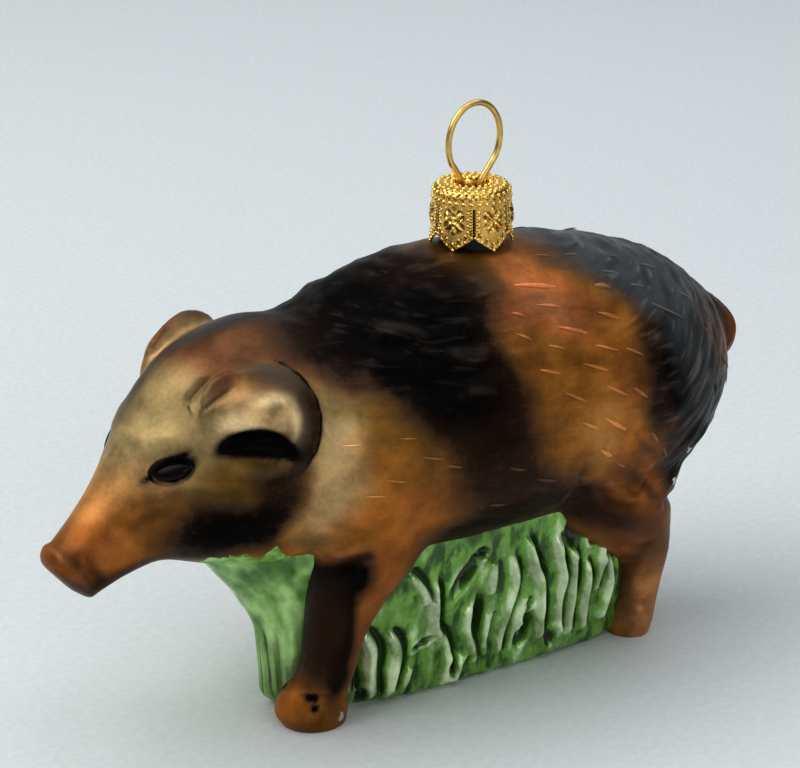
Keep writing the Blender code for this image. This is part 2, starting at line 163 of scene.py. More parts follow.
BODY_RINGS, BODY_SIDES = 134, 112
LIMB_STEPS, LIMB_SIDES = 8, 56      # rings from one row of a limb to the next, and points round each
EAR_BACK_RINGS, EAR_FACE_RINGS, EAR_SIDES = 22, 39, 120
LID_RINGS, LID_SIDES, BEAD_SIDES = 96, 12, 40
SKIN_VOXEL = 0.47         # grain of the fused skin
SOLE_DEPTH = 1.0          # how far a form runs below the floor before it is ground flat
EAR_FOREHEAD = 0.22       # how much further the ear's rim reaches out over the forehead
HAIR_LEAN = [(-25, -8), (0, -14), (20, -26), (32, -38), (42, -54), (52, -68)]    # x, degrees from level
HAIR_SEED = 5
GRASS_LEVELS = 88
GRASS_COLUMNS = 640
GRASS_MIDDLE = 7.7        # the right face is the left one turned about this x
CAP_FLOWER_Z = 63.1       # middle of the flower on each petal
CAP_COLUMNS = 27          # columns of points on one petal
CAP_TOP_ROWS = 44
CAP_WALL_ROWS = 44
CAP_SHEET = 0.2
CAP_EMBOSSED_FROM = (3.6, 4.8)      # the stamping sets in over these radii
LOOP_STEPS = 18
WIRE_RINGS, WIRE_SIDES = 260, 20
BEAD_LIFT = 0.02
HAIR_LIFT = 0.04          # how far a raised hair stands off the skin
VIEW_AZIMUTH = -33.0
VIEW_ELEVATION = 20.5
VIEW_LENS = 129.96
VIEW_SENSOR = 36.0
VIEW_PLACE = (-0.19497, -0.29976, 0.17474)       # metres, as all below
SWEEP_START = 0.50        # where the floor starts to bend up, behind the object and beyond any camera
SWEEP_RADIUS = 0.30
SWEEP_FRONT = -0.8
SWEEP_TOP = 1.2
SWEEP_HALF_WIDTH = 1.6
SWEEP_STEPS = 40
AIM = (0, 0, 0.035)       # middle of the object, which the lamps are turned to
# Lamps: name, place (to the right, ahead, up), size, power and colour
LAMPS = [
    ("key_window", (-0.46, -0.10, 0.60), (0.8, 0.6), 4.7, (1.0, 0.985, 0.96)),
    ("top_soft", (0.16, 0.06, 0.75), (0.9, 0.7), 2.9, (0.93, 0.97, 1.0)),
    ("front_fill", (0.38, -0.72, 0.34), (0.7, 0.5), 2.0, (1.0, 0.99, 0.98)),
]
ROOM_LOW = (0.42, 0.45, 0.48, 1)
ROOM_HIGH = (0.80, 0.87, 0.94, 1)
ROOM_STRENGTH = 0.29
PICTURE_GAMMA = 0.83


# ---------------------------------------------------------------- shaping tools

def blend_rows(rows, positions):
    """Rows read from a smooth curve through them at each position; 2.5 is halfway from row 2 to row 3."""
    rows = np.asarray(rows, float)
    rows = np.vstack([2 * rows[0] - rows[1], rows, 2 * rows[-1] - rows[-2]])
    index = np.clip(np.floor(positions).astype(int), 0, len(rows) - 4)
    t = (positions - index)[:, None]
    a, b, c, d = (rows[index + k] for k in range(4))
    square, cube = 2 * a - 5 * b + 4 * c - d, 3 * b - a - 3 * c + d
    return 0.5 * (2 * b + (c - a) * t + square * t ** 2 + cube * t ** 3)


def smooth_line(points, count):
    return blend_rows(points, np.linspace(0, len(points) - 1, count))


def signed_power(value, exponent):
    return np.sign(value) * np.abs(value) ** exponent


def smoothstep(low, high, value):
    t = np.clip((value - low) / (high - low), 0, 1)
    return t * t * (3 - 2 * t)


def turns(count):
    return np.linspace(0, 2 * math.pi, count, endpoint=False)


def turn_outwards(mesh):
    work = bmesh.new()
    work.from_mesh(mesh)
    bmesh.ops.recalc_face_normals(work, faces=work.faces)
    work.to_mesh(mesh)
    work.free()


def tube_mesh(name, rings):
    """Closed mesh through an array of rings (millimetres), its ends flat and its faces turned outwards."""
    count, sides, _ = rings.shape
    corner = np.arange(count * sides).reshape(count, sides)
    after = np.roll(corner, -1, axis=1)
    walls = np.stack([corner[:-1], after[:-1], after[1:], corner[1:]], axis=-1).reshape(-1, 4)
    faces = walls.tolist() + [corner[0][::-1].tolist(), corner[-1].tolist()]
    mesh = bpy.data.meshes.new(name)
    mesh.from_pydata((rings.reshape(-1, 3) * MM).tolist(), [], faces)
    turn_outwards(mesh)
    return mesh


def add_object(name, data):
    piece = bpy.data.objects.new(name, data)
    bpy.context.collection.objects.link(piece)
    return piece


def plain_mesh(piece):
    """Applies a piece's modifiers and hands the piece back with none."""
    graph = bpy.context.evaluated_depsgraph_get()
    mesh = bpy.data.meshes.new_from_object(piece.evaluated_get(graph))
    piece.modifiers.clear()
    old, piece.data = piece.data, mesh
    bpy.data.meshes.remove(old)
    return piece


def fuse(name, meshes, voxel):
    """One closed skin round closed meshes that run into each other."""
    work = bmesh.new()
    for mesh in meshes:
        work.from_mesh(mesh)
        bpy.data.meshes.remove(mesh)
    mesh = bpy.data.meshes.new(name)
    work.to_mesh(mesh)
    work.free()
    piece = add_object(name, mesh)
    skin = piece.modifiers.new("Fused", "REMESH")
    skin.mode = "VOXEL"
    skin.voxel_size = voxel * MM
    skin.use_smooth_shade = True
    return plain_mesh(piece)


def read_points(mesh):
    flat = np.empty(len(mesh.vertices) * 3)
    mesh.vertices.foreach_get("co", flat)
    return flat.reshape(-1, 3) / MM


def write_points(mesh, points):
    mesh.vertices.foreach_set("co", (points * MM).ravel())
    mesh.update()


def read_normals(mesh):
    flat = np.empty(len(mesh.vertices) * 3)
    mesh.vertex_normals.foreach_get("vector", flat)
    return flat.reshape(-1, 3)


def relax(mesh, rounds, weight=None, share=0.5):
    """Draws each point towards the middle of its neighbours; weight, one number a point, says how much."""
    points = read_points(mesh)
    ends = np.empty(len(mesh.edges) * 2, int)
    mesh.edges.foreach_get("vertices", ends)
    first, second = ends.reshape(-1, 2).T
    count = len(points)
    links = np.bincount(first, minlength=count) + np.bincount(second, minlength=count)
    pull = share if weight is None else share * weight[:, None]
    for _ in range(rounds):
        middle = np.empty_like(points)
        for axis in range(3):
            middle[:, axis] = np.bincount(first, points[second, axis], count)
            middle[:, axis] += np.bincount(second, points[first, axis], count)
        points += (middle / links[:, None] - points) * pull
    write_points(mesh, points)


def grain(points, size):
    """Soft noise from -1 to 1 at each point; size is the length of a lump along each axis."""
    return np.array([noise.noise(p) for p in (points / np.asarray(size, float)).tolist()])


def keep_attribute(mesh, name, values):
    kind = "FLOAT_VECTOR" if values.ndim == 2 else "FLOAT"
    layer = mesh.attributes.new(name, kind, "POINT")
    layer.data.foreach_set("vector" if values.ndim == 2 else "value", np.asarray(values, np.float32).ravel())


# ---------------------------------------------------------------- lines drawn on the boar's side

# Creases and folds pressed by the mould, as seen from the left: height (+ raised, - pressed in), half
# width, and the line as (x, z). The right side has the same ones, moved along with its own legs.
BODY_CREASES = [
    (0.45, 0.6, [(-52.4, 31.0), (-50.7, 27.2), (-47.4, 22.4)]),         # rim of the snout's disc
    (-0.60, 0.8, [(-49.8, 30.6), (-48.7, 28.0), (-46.2, 24.0)]),
    (0.30, 0.9, [(-47.4, 32.6), (-44.6, 31.2), (-43.2, 28.6)]),
    (-0.30, 0.8, [(-40.5, 37.0), (-37.5, 35.9), (-34.5, 36.6)]),        # under the eye
    (0.35, 1.2, [(-42.0, 41.6), (-39.2, 43.4), (-36.0, 43.3)]),         # brow
    (-0.50, 0.30, [(-35.9, 46.8), (-35.0, 48.2), (-33.4, 49.6), (-31.6, 50.6)]),     # fold before the ear
    (-0.30, 0.7, [(-16.6, 45.0), (-15.0, 44.6), (-13.2, 44.0)]),
    (-0.25, 1.0, [(-22.5, 33.0), (-19.0, 30.0), (-14.0, 29.0)]),
    (0.40, 0.8, [(-19.8, 25.6), (-17.0, 26.9), (-14.6, 27.4)]),         # fold over the foreleg
    (-0.70, 0.8, [(-19.6, 23.6), (-17.0, 25.0), (-13.4, 25.6)]),
    (-0.40, 0.9, [(-13.0, 52.6), (-9.5, 51.6), (-5.5, 51.9)]),          # locks on the shoulder
    (0.35, 0.8, [(-10.5, 53.6), (-6.5, 53.0), (-3.0, 52.0)]),
    (-0.40, 0.7, [(-6.0, 54.4), (-2.0, 53.4), (1.5, 53.8)]),
    (0.35, 0.7, [(-3.5, 50.8), (0.0, 49.6), (3.4, 49.8)]),
    (-0.35, 0.8, [(0.5, 55.6), (3.0, 54.4), (5.8, 53.6)]),
    (0.25, 0.8, [(-2.5, 46.6), (0.6, 45.6), (3.6, 44.8)]),
    (-0.30, 0.6, [(4.8, 55.4), (6.6, 54.6), (7.6, 53.6)]),
]
FORELEG_CREASES = [
    (-0.30, 0.6, [(-21.6, 6.0), (-19.0, 5.2), (-16.0, 5.9)]),           # hoof's upper edge
    (-0.30, 0.5, [(-20.4, 0.2), (-20.0, 2.2), (-19.8, 3.6)]),           # cleft of the hoof
    (0.25, 0.7, [(-21.4, 10.0), (-21.2, 15.0), (-22.4, 19.0)]),
]
HINDLEG_CREASES = [
    (0.45, 0.40, [(15.0, 29.2), (14.4, 27.2), (14.0, 25.4)]),           # fold where thigh and belly part
    (-0.50, 0.55, [(16.0, 28.4), (18.0, 27.5), (19.8, 26.2)]),
    (0.45, 0.60, [(20.5, 28.5), (23.6, 26.8), (25.2, 25.3)]),
    (-0.60, 0.60, [(19.8, 27.2), (23.0, 24.7), (25.3, 23.5), (27.8, 23.4), (28.9, 24.4)]),
    (-0.50, 0.55, [(22.3, 29.8), (22.5, 28.2), (24.8, 26.6), (27.0, 25.1), (28.2, 26.3), (29.6, 28.6)]),
    (0.40, 0.50, [(25.0, 29.4), (27.4, 28.8), (29.0, 30.6)]),
    (-0.35, 0.50, [(20.3, 23.3), (23.0, 21.4), (24.8, 20.6)]),
    (-0.35, 0.55, [(26.3, 16.6), (29.5, 15.7), (33.0, 16.2)]),
    (-0.22, 0.55, [(27.0, 13.2), (30.0, 12.7), (32.8, 13.1)]),
    (-0.80, 1.10, [(31.8, 22.6), (34.6, 21.8), (37.4, 20.8)]),          # behind the knee
    (-0.30, 0.60, [(30.6, 5.6), (33.4, 5.0), (36.0, 5.6)]),
    (-0.40, 0.70, [(15.2, 31.6), (16.6, 30.8), (17.2, 29.8)]),
]

# Edges of the blades on the tuft's left face, dark with painted shade in the groove, each with a rounded
# blade to its left: depth, line as (x, z)
BLADES = [
    (0.8, [(-15.6, 12.0), (-14.0, 9.0), (-12.8, 5.6), (-12.4, 2.0)]),
    (1.0, [(-11.9, 13.0), (-9.9, 9.4), (-9.6, 6.0), (-9.2, 1.0)]),
    (1.0, [(-8.6, 12.4), (-6.6, 9.2), (-6.3, 5.4), (-7.2, 1.0)]),
    (1.0, [(-6.8, 21.0), (-4.0, 17.6), (-2.8, 14.6)]),
    (1.2, [(-2.4, 19.0), (-1.6, 15.8), (-0.8, 10.8), (0.9, 8.0), (1.8, 4.4), (2.0, 0.6)]),
    (0.8, [(3.8, 13.0), (4.2, 9.0), (5.7, 5.4), (6.3, 2.6)]),
    (0.7, [(7.3, 19.0), (7.7, 15.4), (7.6, 13.0)]),
    (1.0, [(9.6, 20.0), (11.3, 15.4), (11.3, 12.0), (10.4, 8.0), (10.0, 2.4)]),
    (1.4, [(11.6, 22.4), (13.7, 17.6), (15.5, 14.0), (16.2, 10.5), (16.6, 7.0), (17.0, 3.0)]),
    (1.2, [(16.8, 21.0), (18.6, 16.4), (19.7, 13.0), (19.6, 9.0), (19.9, 3.0)]),
    (1.0, [(20.2, 18.0), (21.5, 13.8), (21.6, 10.0), (21.8, 2.6)]),
    (1.1, [(22.8, 15.4), (24.2, 11.8), (24.3, 8.0), (24.5, 2.6)]),
    (1.1, [(27.2, 15.2), (28.6, 10.4), (28.6, 7.0), (27.4, 3.0)]),
    (0.7, [(4.6, 4.4), (3.6, 2.4), (3.2, 0.4)]),
    (0.6, [(-4.2, 5.0), (-4.6, 3.0), (-5.4, 0.6)]),
    (0.6, [(13.8, 11.4), (13.2, 8.6), (12.4, 5.8)]),
    (0.6, [(8.0, 10.6), (7.4, 7.0), (7.8, 3.4)]),
    (0.8, [(26.0, 18.6), (26.6, 14.4), (26.3, 8.0)]),
]
# Lens-shaped hollows between the blades: x, z, half width, half height, lean in degrees, depth
GRASS_HOLLOWS = [
    (1.9, 17.8, 0.95, 3.2, -31.0, 1.3),
    (4.2, 20.6, 0.8, 0.7, 0.0, 0.8),
    (5.0, 10.4, 0.75, 2.8, 6.0, 1.5),
    (13.2, 6.0, 0.9, 2.2, -22.0, 1.4),
    (12.9, 8.6, 0.4, 0.8, -40.0, 0.7),
    (-11.5, 1.6, 0.6, 1.1, 0.0, 0.9),
    (19.8, 19.2, 1.3, 2.0, 30.0, 1.0),
    (23.6, 17.8, 1.1, 0.8, 0.0, 0.7),
    (-3.6, 8.4, 1.4, 0.5, 25.0, 0.5),
    (1.4, 3.0, 0.7, 1.2, 0.0, 0.6),
    (17.9, 3.4, 0.7, 1.2, 0.0, 0.6),
]


def follow(place, line):
    """How far each (x, z) place lies from a line, on which side of it (+ to the right, going down), and how
    far along it."""
    line = smooth_line(line, 4 * len(line))
    lengths = np.hypot(*np.diff(line, axis=0).T)
    starts = np.concatenate([[0], np.cumsum(lengths)])
    away, side, along = (np.full(len(place), value) for value in (np.inf, 1.0, 0.0))
    for index, length in enumerate(lengths):
        heading = (line[index + 1] - line[index]) / length
        gap = place - line[index]
        walked = np.clip(gap @ heading, 0, length)
        off = gap - walked[:, None] * heading
        distance = np.hypot(*off.T)
        closer = distance < away
        away[closer] = distance[closer]
        side[closer] = np.sign(gap[closer, 0] * -heading[1] + gap[closer, 1] * heading[0])
        along[closer] = (starts[index] + walked[closer]) / starts[-1]
    return away, side, along


def press(place, creases):
    """Height of a set of creases at each (x, z) place; every crease fades out towards both its ends."""
    height = np.zeros(len(place))
    for amount, width, line in creases:
        low, high = np.min(line, axis=0) - 3 * width, np.max(line, axis=0) + 3 * width
        near = np.all((place > low) & (place < high), axis=1)
        away, _, along = follow(place[near], line)
        fade = smoothstep(0, 0.3, along) * (1 - smoothstep(0.7, 1, along))
        height[near] += amount * np.exp(-(away / width) ** 2) * fade
    return height


# ---------------------------------------------------------------- the boar's forms

def body_rings():
    at = np.linspace(0, len(BODY_STATIONS) - 1, BODY_RINGS)
    rows = blend_rows(BODY_STATIONS, at).T[:, :, None]
    top_x, top_z, low_x, low_z, half_width, widest, full_above, full_below = rows
    rise, side = np.cos(turns(BODY_SIDES)), np.sin(turns(BODY_SIDES))
    power = 2 / np.where(rise >= 0, full_above, full_below)
    height = widest + np.where(rise >= 0, 1 - widest, widest) * signed_power(rise, power)
    across = half_width * signed_power(side, power)
    return np.stack([low_x + (top_x - low_x) * height, across, low_z + (top_z - low_z) * height], axis=-1)


def limb_rings(rows, side=1.0, shift=0.0, sole=0.0):
    """Level oval rings of a leg or the tail; sole runs the lowest ring on below the floor."""
    at = np.linspace(0, len(rows) - 1, LIMB_STEPS * (len(rows) - 1) + 1)
    x, y, z, half_length, half_width = blend_rows(rows, at).T[:, :, None]
    turn = turns(LIMB_SIDES)
    z = z + 0 * turn
    z[0] -= sole
    along, across = half_length * np.cos(turn), half_width * np.sin(turn)
    return np.stack([x + shift + along, side * y + across, z], axis=-1)


def ear_axes():
    out = Vector(EAR_NORMAL).normalized()
    up = (Vector((0, 0, 1)) - out * out.z).normalized()
    across = up.cross(out)
    return np.array(up), np.array(across), np.array(out)


def ear_place(points):
    """Where each point lies on its side's ear: share of the length up, of the width across, and height."""
    mirrored = points * np.where(points[:, 1:2] > 0, (1, -1, 1), (1, 1, 1))
    right_shift = np.array(RIGHT_EAR_OFFSET) * (1, -1, 1)
    mirrored -= np.where(points[:, 1:2] > 0, right_shift, 0)
    up, across, out = ear_axes()
    away = mirrored - EAR_CENTRE
    return np.stack([away @ up / EAR_LENGTH, away @ across / EAR_WIDTH, away @ out], axis=-1)


def ear_outline(angle):
    """How far the ear's rim reaches at an angle from straight up; it runs out over the forehead."""
    forward = np.abs((np.degrees(angle) + 56 + 180) % 360 - 180)
    return 1 + EAR_FOREHEAD * (1 - smoothstep(4, 42, forward))


def ear_arch(up, across):
    """Height over the middle line of the ear's arched hollow, in shares of the ear's length."""
    return up + 0.25 + 0.40 * (across + 0.28) ** 2


def ear_relief(up, across):
    """Height of the ear's outer face over its plane: a rim, a swollen pad and the hollow arched under it."""
    from_middle = np.hypot(up, across)
    edge = np.clip(1 - from_middle ** 2, 0, 1)
    rolled = smoothstep(-0.7, 0.5, 0.9 * across + 0.45 * up)
    dome = 2.3 * edge ** (1.15 - 0.70 * rolled)
    pad_reach = np.hypot((up - 0.18) / 0.50, (across + 0.06) / 0.70)
    pad = 1.2 * (1 - smoothstep(0.60, 1.20, pad_reach))
    arch = ear_arch(up, across)
    lip = smoothstep(-0.26, 0.04, arch)
    hollow = 2.9 * np.exp(-(arch / 0.20) ** 2) * np.clip(1 - (np.abs(across + 0.10) / 0.80) ** 2.6, 0, 1)
    dimple = 0.5 * np.exp(-((up - 0.24) / 0.15) ** 2 - ((across - 0.21) / 0.15) ** 2)
    return dome + (pad * lip - hollow - dimple) * np.clip(3 * edge, 0, 1)


def ear_rings(side, offset):
    up_axis, across_axis, out = ear_axes()
    back = np.linspace(0.04, 1, EAR_BACK_RINGS)
    shares = np.concatenate([back, np.linspace(1, 0.02, EAR_FACE_RINGS + 1)[1:]])
    angle = turns(EAR_SIDES)
    reach = 1 + (ear_outline(angle) - 1) * (1.0 if side > 0 else 0.2)
    rings = []
    for index, share in enumerate(shares):
        u, a = share * np.cos(angle), share * np.sin(angle)
        height = ear_relief(u, a)
        if index < EAR_BACK_RINGS:
            height = np.full(EAR_SIDES, -EAR_BACK * math.sqrt(1 - share * share))
        stretch = 1 + (reach - 1) * share ** 3
        ring = np.array(EAR_CENTRE) + height[:, None] * out
        ring = ring + np.outer(u * stretch * EAR_LENGTH, up_axis)
        ring = ring + np.outer(a * stretch * EAR_WIDTH, across_axis)
        rings.append(ring * (1, side, 1) + offset)
    return np.array(rings)


def mirror_shift(points, right_shift):
    """(x, z) of each point as if it were on the left; on the right, limbs stand shifted along the body."""
    return np.stack([points[:, 0] - np.where(points[:, 1] > 0, right_shift, 0), points[:, 2]], axis=-1)


def crease_relief(points):
    relief = press(mirror_shift(points, 0), BODY_CREASES)
    relief += press(mirror_shift(points, RIGHT_FORE_SHIFT), FORELEG_CREASES)
    relief += press(mirror_shift(points, RIGHT_HIND_SHIFT), HINDLEG_CREASES)
    nostril = np.hypot(points[:, 0] + 50.9, points[:, 2] - 28.4) / 1.1
    nostril = np.hypot(nostril, (np.abs(points[:, 1]) - 3.4) / 2.0)
    return relief - 0.55 * np.exp(-nostril ** 2 * 1.4)


def hair_flow(points):
    """Places along and across the moulded hair, which sweeps back along the body and down over the rump."""
    x, y, z = points.T
    steps = np.linspace(-60, 60, 481)
    lean = np.radians(np.interp(steps, *np.array(HAIR_LEAN, float).T))
    pitch = steps[1] - steps[0]
    sink, walked = np.cumsum(np.tan(lean)) * pitch, np.cumsum(1 / np.cos(lean)) * pitch
    across = (z - np.interp(x, steps, sink)) * np.cos(np.interp(x, steps, lean))
    return np.stack([np.interp(x, steps, walked), across + 0.8 * grain(points, 9.0), y], axis=-1)


def hair_growth(points):
    """How strongly the mould's hair stands: most on rump and shoulder, least on head and legs."""
    x, y, z = points.T
    rump = smoothstep(22, 31, x + 0.25 * (z - 40)) * smoothstep(16, 24, z)
    shoulder = smoothstep(40, 51, z) * smoothstep(-23, -13, x) * (1 - smoothstep(5, 11, x))
    back = smoothstep(50, 55, z) * smoothstep(8, 14, x) * (1 - smoothstep(24, 32, x))
    flank = smoothstep(-8, 4, x) * smoothstep(18, 30, z)
    return np.maximum.reduce([rump, 0.75 * shoulder, 0.5 * back, 0.42 * flank])


def hair_relief(points):
    """Moulded locks that lie back and down along the body."""
    flow = hair_flow(points)
    broad = 1 - 2.2 * np.abs(grain(flow, (8.0, 2.6, 7.0)))
    fine = grain(flow + 31.0, (4.5, 1.1, 4.0))
    return (0.03 + 0.36 * hair_growth(points)) * (0.55 * broad + 0.65 * fine)


def boar_skin():
    """All the boar's forms fused into one skin, its joins rounded, then the mould's relief pressed in."""
    forms = [
        body_rings(),
        limb_rings(FORELEG, sole=SOLE_DEPTH),
        limb_rings(FORELEG, -1.0, RIGHT_FORE_SHIFT, SOLE_DEPTH),
        limb_rings(HINDLEG, sole=SOLE_DEPTH),
        limb_rings(HINDLEG, -1.0, RIGHT_HIND_SHIFT, SOLE_DEPTH),
        limb_rings(TAIL),
        ear_rings(1.0, (0, 0, 0)),
        ear_rings(-1.0, RIGHT_EAR_OFFSET),
    ]
    skin = fuse("boar", [tube_mesh("form", rings) for rings in forms], SKIN_VOXEL)
    mesh = skin.data
    relax(mesh, 3)
    points = read_points(mesh)
    up, across, height = ear_place(points).T
    keen = 0.30 * smoothstep(-0.9, 0.2, across + 0.4 * up)
    on_ear = 1 - smoothstep(0.92 + keen, 1.10 + keen, np.hypot(up, across))
    on_ear *= smoothstep(-2.5, -0.5, height)
    at_snout = 0.9 * (1 - smoothstep(-49.0, -45.5, points[:, 0]))
    relax(mesh, 14, weight=1 - np.maximum(on_ear, at_snout))
    points = read_points(mesh)
    behind_ear = smoothstep(0, 2, points[:, 1]) * (1 - smoothstep(1.2, 1.6, np.hypot(up, across)))
    creases = crease_relief(points) * (1 - behind_ear)
    relief = creases + hair_relief(points) * (1 - on_ear)
    above_sole = smoothstep(0.3, 2.0, points[:, 2])[:, None]
    points += read_normals(mesh) * relief[:, None] * above_sole
    points[:, 2] = np.maximum(points[:, 2], 0)
    write_points(mesh, points)
    mesh.shade_smooth()
    # painted shade: the creases and nostrils are darkened towards soot as deep as they are pressed in
    keep_attribute(mesh, "pressed", np.clip(-creases / 0.6 - 0.25, 0, 1) * 0.75)
    # painted highlight: the ridges of the relief are lightened
    keep_attribute(mesh, "ridge_highlight", np.clip((relief - 0.14) / 0.5, 0, 0.6))
    return skin


# ---------------------------------------------------------------- eyes and lids

def side_ground(skin):
    """A finder of the skin's surface, straight in from the side, at a place given as (x, z) millimetres."""
    tree = BVHTree.FromObject(skin, bpy.context.evaluated_depsgraph_get())

    def find(x, z, side):
        start = Vector((x, -40.0 * side, z)) * MM
        spot, normal, _, _ = tree.ray_cast(start, Vector((0, side, 0)))
        if spot is None:
            spot, normal, _, _ = tree.find_nearest(start)
        return np.array(spot) / MM, np.array(normal)

    return find


def almond(angle, grow=0.0):
    """(x, z) of the eye's outline, its rear corner higher."""
    along = -math.cos(angle)
    swell = abs(math.sin(angle)) ** EYE_TAPER * math.copysign(1, math.sin(angle))
    x, z = along * (EYE_SIZE[0] + grow), swell * (EYE_SIZE[2] + grow)
    tilt = math.radians(EYE_TILT)
    return (EYE_CENTRE[0] + x * math.cos(tilt) - z * math.sin(tilt) - 0.2,
            EYE_CENTRE[2] + x * math.sin(tilt) + z * math.cos(tilt) + 0.25)


def eye_bead(name, find, side):
    """Dark glossy bead in the cheek, swollen in the middle and sunk at its outline."""
    rings = []
    for share, swell in EYE_SWELL:
        ring = []
        for angle in turns(BEAD_SIDES):
            outer_x, outer_z = almond(angle + 0.08, -0.25)
            x = EYE_CENTRE[0] + (outer_x - EYE_CENTRE[0]) * share
            z = EYE_CENTRE[2] + (outer_z - EYE_CENTRE[2]) * share
            spot, _ = find(x, z, side)
            ring.append(spot + np.array(((-0.32) * swell, -0.95 * side * swell, 0.0)))
        rings.append(ring)
    return add_object(name, tube_mesh(name, np.array(rings)))


def eyelids(name, find, side):
    """Fold of skin round the eye: a heavy upper lid and a thin lower one, thinnest at the corners."""
    rings = []
    for angle in turns(LID_RINGS):
        x, z = almond(angle + 0.01, 0.0)
        spot, normal = find(x, z, side)
        ahead = np.array(find(*almond(angle + 0.06, 0.0), side)[0]) - spot
        ahead /= np.linalg.norm(ahead)
        upper = smoothstep(0.0, 0.9, math.sin(angle))
        thick = 0.12 + 0.26 * upper
        across = np.cross(normal, ahead)
        across /= np.linalg.norm(across)
        half_width = (0.30 + 0.8 * thick) * (0.4 + 0.6 * abs(math.sin(angle)))
        rings.append([spot + normal * (0.05 + 0.55 * thick * math.cos(turn))
                      + across * half_width * math.sin(turn) for turn in turns(LID_SIDES)])
    rings.append(rings[0])
    return add_object(name, tube_mesh(name, np.array(rings)))


# ---------------------------------------------------------------- hand painting

def srgb(red, green, blue):
    """A paint named as it looks, 0 to 255, in the linear light that shaders use."""
    shares = (red / 255, green / 255, blue / 255)
    return tuple(((c + 0.055) / 1.055) ** 2.4 if c > 10 / 255 else c / 12.92 for c in shares)


PAINTS = {
    "beige": srgb(190, 160, 116),
    "cream": srgb(240, 212, 164),
    "khaki": srgb(162, 142, 98),
    "olive": srgb(106, 78, 24),
    "ochre": srgb(168, 112, 46),
    "copper": srgb(176, 110, 44),
    "orange": srgb(190, 114, 66),
    "amber": srgb(196, 148, 92),
    "chestnut": srgb(134, 82, 40),
    "flesh": srgb(184, 132, 88),
    "umber": srgb(46, 28, 13),
    "soot": srgb(4, 4, 4),
    "slate": srgb(42, 46, 50),
    "steel": srgb(74, 78, 79),
    "smoke": srgb(92, 76, 62),
}

